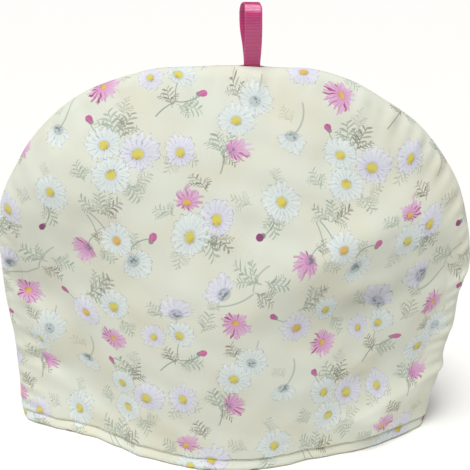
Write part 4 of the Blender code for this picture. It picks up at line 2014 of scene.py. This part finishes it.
@dataclass
class HemStitching:
    """Straight row of machine stitches that holds the turned hem, lying in its groove."""

    panel: PaddedPanel
    length: float = 0.0024
    radius: float = 0.00021
    proud: float = 0.00006
    margin: float = 0.004
    dense: int = 3000
    rings: int = 6
    sides: int = 8

    def groove(self) -> np.ndarray:
        """Line that the stitches follow, just proud of the bottom of the hem's groove.

        Returns:
            Many points along it, as rows of X, Y and Z.
        """
        shape, padding, side = self.panel.shape, self.panel.padding, self.panel.side
        x = np.linspace(shape.line[-1, 0] + self.margin, shape.line[0, 0] - self.margin, self.dense)
        z = np.full_like(x, padding.hem_line)
        depth = shape.folded_depth(x, z, self.panel.folds) + padding.offset(shape, x, z, side)
        return np.stack([x + shape.hem_middle, side.value * (shape.seam_gap + depth + self.proud), z], axis=1)

    def faces(self, count: int) -> list:
        """Faces of all stitches, each with its two end points first and last.

        Args:
            count: number of stitches.

        Returns:
            Rows of corner indices.
        """
        rings = 1 + np.arange((self.rings - 1) * self.sides).reshape(-1, self.sides)
        turned = np.roll(rings, -1, axis=1)
        last = rings.size + 1
        first_tip = [[0, b, a] for a, b in zip(rings[0], turned[0])]
        last_tip = [[last, a, b] for a, b in zip(rings[-1], turned[-1])]
        starts = (np.arange(count) * (last + 1))[:, None, None]
        quads = (tube_faces(rings)[None] + starts).reshape(-1, 4)
        tips = (np.array(first_tip + last_tip)[None] + starts).reshape(-1, 3)
        return quads.tolist() + tips.tolist()

    def build(self, material: bpy.types.Material) -> bpy.types.Object:
        """Lays one slim ellipsoid for each stitch along the groove, all in one piece.

        A ring at swing s has sqrt(sin s) of the full radius, at -cos s of half the length.

        Args:
            material: the thread.

        Returns:
            The finished row of stitches.
        """
        line = self.groove()
        run = running_length(line)
        count = int(run[-1] / self.panel.padding.stitch)
        at = (np.arange(count) + 0.5) * self.panel.padding.stitch
        start, end = (points_along(line, run, at + s * self.length / 2) for s in (-1, 1))
        middle = (start + end) / 2
        half = (end - start) / 2
        forward = unit(half)
        upward = unit(np.array([0.0, 0.0, 1.0]) - forward * forward[:, 2:3])
        outward = np.cross(forward, upward)
        swing = math.pi * np.arange(1, self.rings) / self.rings
        swing = swing[:, None, None]
        turn = (2 * math.pi * np.arange(self.sides) / self.sides)[:, None]
        along = -np.cos(swing) * half[:, None, None, :]
        ring = np.cos(turn) * upward[:, None, None, :] + np.sin(turn) * outward[:, None, None, :]
        body = middle[:, None, None, :] + along + self.radius * np.sqrt(np.sin(swing)) * ring
        parts = [(middle - half)[:, None], body.reshape(count, -1, 3), (middle + half)[:, None]]
        points = np.concatenate(parts, axis=1).reshape(-1, 3)
        piece = make_piece(f"{self.panel.side.name.lower()}_hem_stitches", points, self.faces(count))
        dress(piece, material)
        return piece


@dataclass(frozen=True)
class CottonThread:
    """Cream sewing thread, twisted along its length."""

    light: Colour = srgb(240, 234, 212)
    dark: Colour = srgb(196, 186, 160)
    twist_scale: float = 2600.0
    roughness: float = 0.7

    def material(self) -> bpy.types.Material:
        """Mottles the thread by fine noise on its Object coordinates.

        Returns:
            The material.
        """
        material, brush, shader = new_material("cotton_thread")
        twist = brush.noise(brush.node("TexCoord", {}, "Object"), self.twist_scale, 1.0)
        colour = brush.mix(twist.eased(0.35, 0.65), self.dark, self.light)
        brush.fill(shader, {"Base Color": colour, "Roughness": self.roughness})
        return material


@dataclass(frozen=True)
class Studio:
    """Pale floor, soft light and the camera; lengths are in metres and angles in degrees."""

    elevation: float = 26.2
    roll: float = 0.85
    distance: float = 0.499
    aim: tuple[float, float, float] = (0.0011, 0.0, 0.1531)
    lens: float = 57.06
    sensor: float = 36.0
    clip: tuple[float, float] = (0.01, 50.0)
    floor_size: float = 9.0
    floor_colour: Colour = srgb(252, 251, 248)
    floor_roughness: float = 0.9
    sky: float = 0.07
    backdrop: float = 1.0
    sky_colour: Colour = (0.985, 1.0, 1.0)
    key_strength: float = 3.22
    key_spread: float = 30.0
    key_from: tuple[float, float, float] = (-0.11, -0.24, 0.965)
    key_distance: float = 2.0

    def build(self) -> None:
        """Makes the floor, the light and the camera."""
        self.floor()
        self.light()
        self.camera()

    def floor(self) -> None:
        """Lays a flat pale sheet under the cosy."""
        half = self.floor_size / 2
        mesh = bpy.data.meshes.new("studio_floor")
        corners = [(-half, -half, 0.0), (half, -half, 0.0), (half, half, 0.0), (-half, half, 0.0)]
        mesh.from_pydata(corners, [], [(0, 1, 2, 3)])
        material, brush, shader = new_material("studio_floor")
        brush.fill(shader, {"Base Color": self.floor_colour, "Roughness": self.floor_roughness})
        mesh.materials.append(material)
        floor = place_object("studio_floor", mesh)

    def light(self) -> None:
        """Adds an even dim sky with a pale backdrop, and one soft sun from above in front."""
        world = bpy.data.worlds.new("studio_sky")
        world.use_nodes = True
        brush = Brush(world.node_tree)
        seen = brush.node("LightPath", {}, "Is Camera Ray")
        strength = seen * (self.backdrop - self.sky) + self.sky
        brush.fill(world.node_tree.nodes["Background"], {"Color": self.sky_colour, "Strength": strength})
        bpy.context.scene.world = world
        lamp = bpy.data.lights.new("soft_key", "SUN")
        lamp.energy = self.key_strength
        lamp.angle = math.radians(self.key_spread)
        key = place_object("soft_key", lamp)
        key.location = Vector(self.key_from) * self.key_distance
        key.rotation_euler = Vector(self.key_from).to_track_quat("Z", "Y").to_euler()

    def camera(self) -> None:
        """Sets the camera in front, above the cosy and a little rolled."""
        lift = math.radians(self.elevation)
        back = Vector((0.0, -math.cos(lift), math.sin(lift)))
        camera = place_object("camera", bpy.data.cameras.new("camera"))
        camera.data.sensor_width = self.sensor
        camera.data.lens = self.lens
        camera.data.clip_start, camera.data.clip_end = self.clip
        facing = back.to_track_quat("Z", "Y").to_matrix().to_4x4()
        rolled = Matrix.Rotation(math.radians(self.roll), 4, "Z")
        camera.matrix_world = Matrix.Translation(Vector(self.aim) + back * self.distance) @ facing @ rolled
        bpy.context.scene.camera = camera


def write_sizes() -> None:
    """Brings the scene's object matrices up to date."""
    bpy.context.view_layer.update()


def report(piece: bpy.types.Object) -> None:
    """Logs one finished piece."""
    LOG.info("%s: %d faces", piece.name, len(piece.data.polygons))


def main() -> None:
    """Builds the studio and every piece in order."""
    logging.basicConfig(level=logging.INFO, format="%(name)s: %(message)s")
    bpy.context.scene.view_settings.view_transform = "Standard"
    Studio().build()
    _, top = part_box("front_panel")
    shape = CosyShape(height=top.z)
    cotton = PrintedCotton().material()
    thread = CottonThread().material()
    loop = RibbonLoop(*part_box("ribbon_loop"))
    loop_x = (loop.low.x + loop.high.x) / 2 - shape.hem_middle
    sides = ((Side.FRONT, FRONT_FOLDS, FRONT_PRINT), (Side.BACK, BACK_FOLDS, BACK_PRINT))
    for side, folds, cloth_shift in sides:
        node = f"{side.name.lower()}_panel"
        panel = PaddedPanel(f"{node}_cloth", side, shape, Padding(), folds, PrintChart(), loop_x, cloth_shift)
        piece = panel.build(cotton)
        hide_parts(node)
        report(piece)
        report(HemStitching(panel).build(thread))
    report(loop.build(Grosgrain().material(loop)))
    write_sizes()


if __name__ == "__main__":
    main()
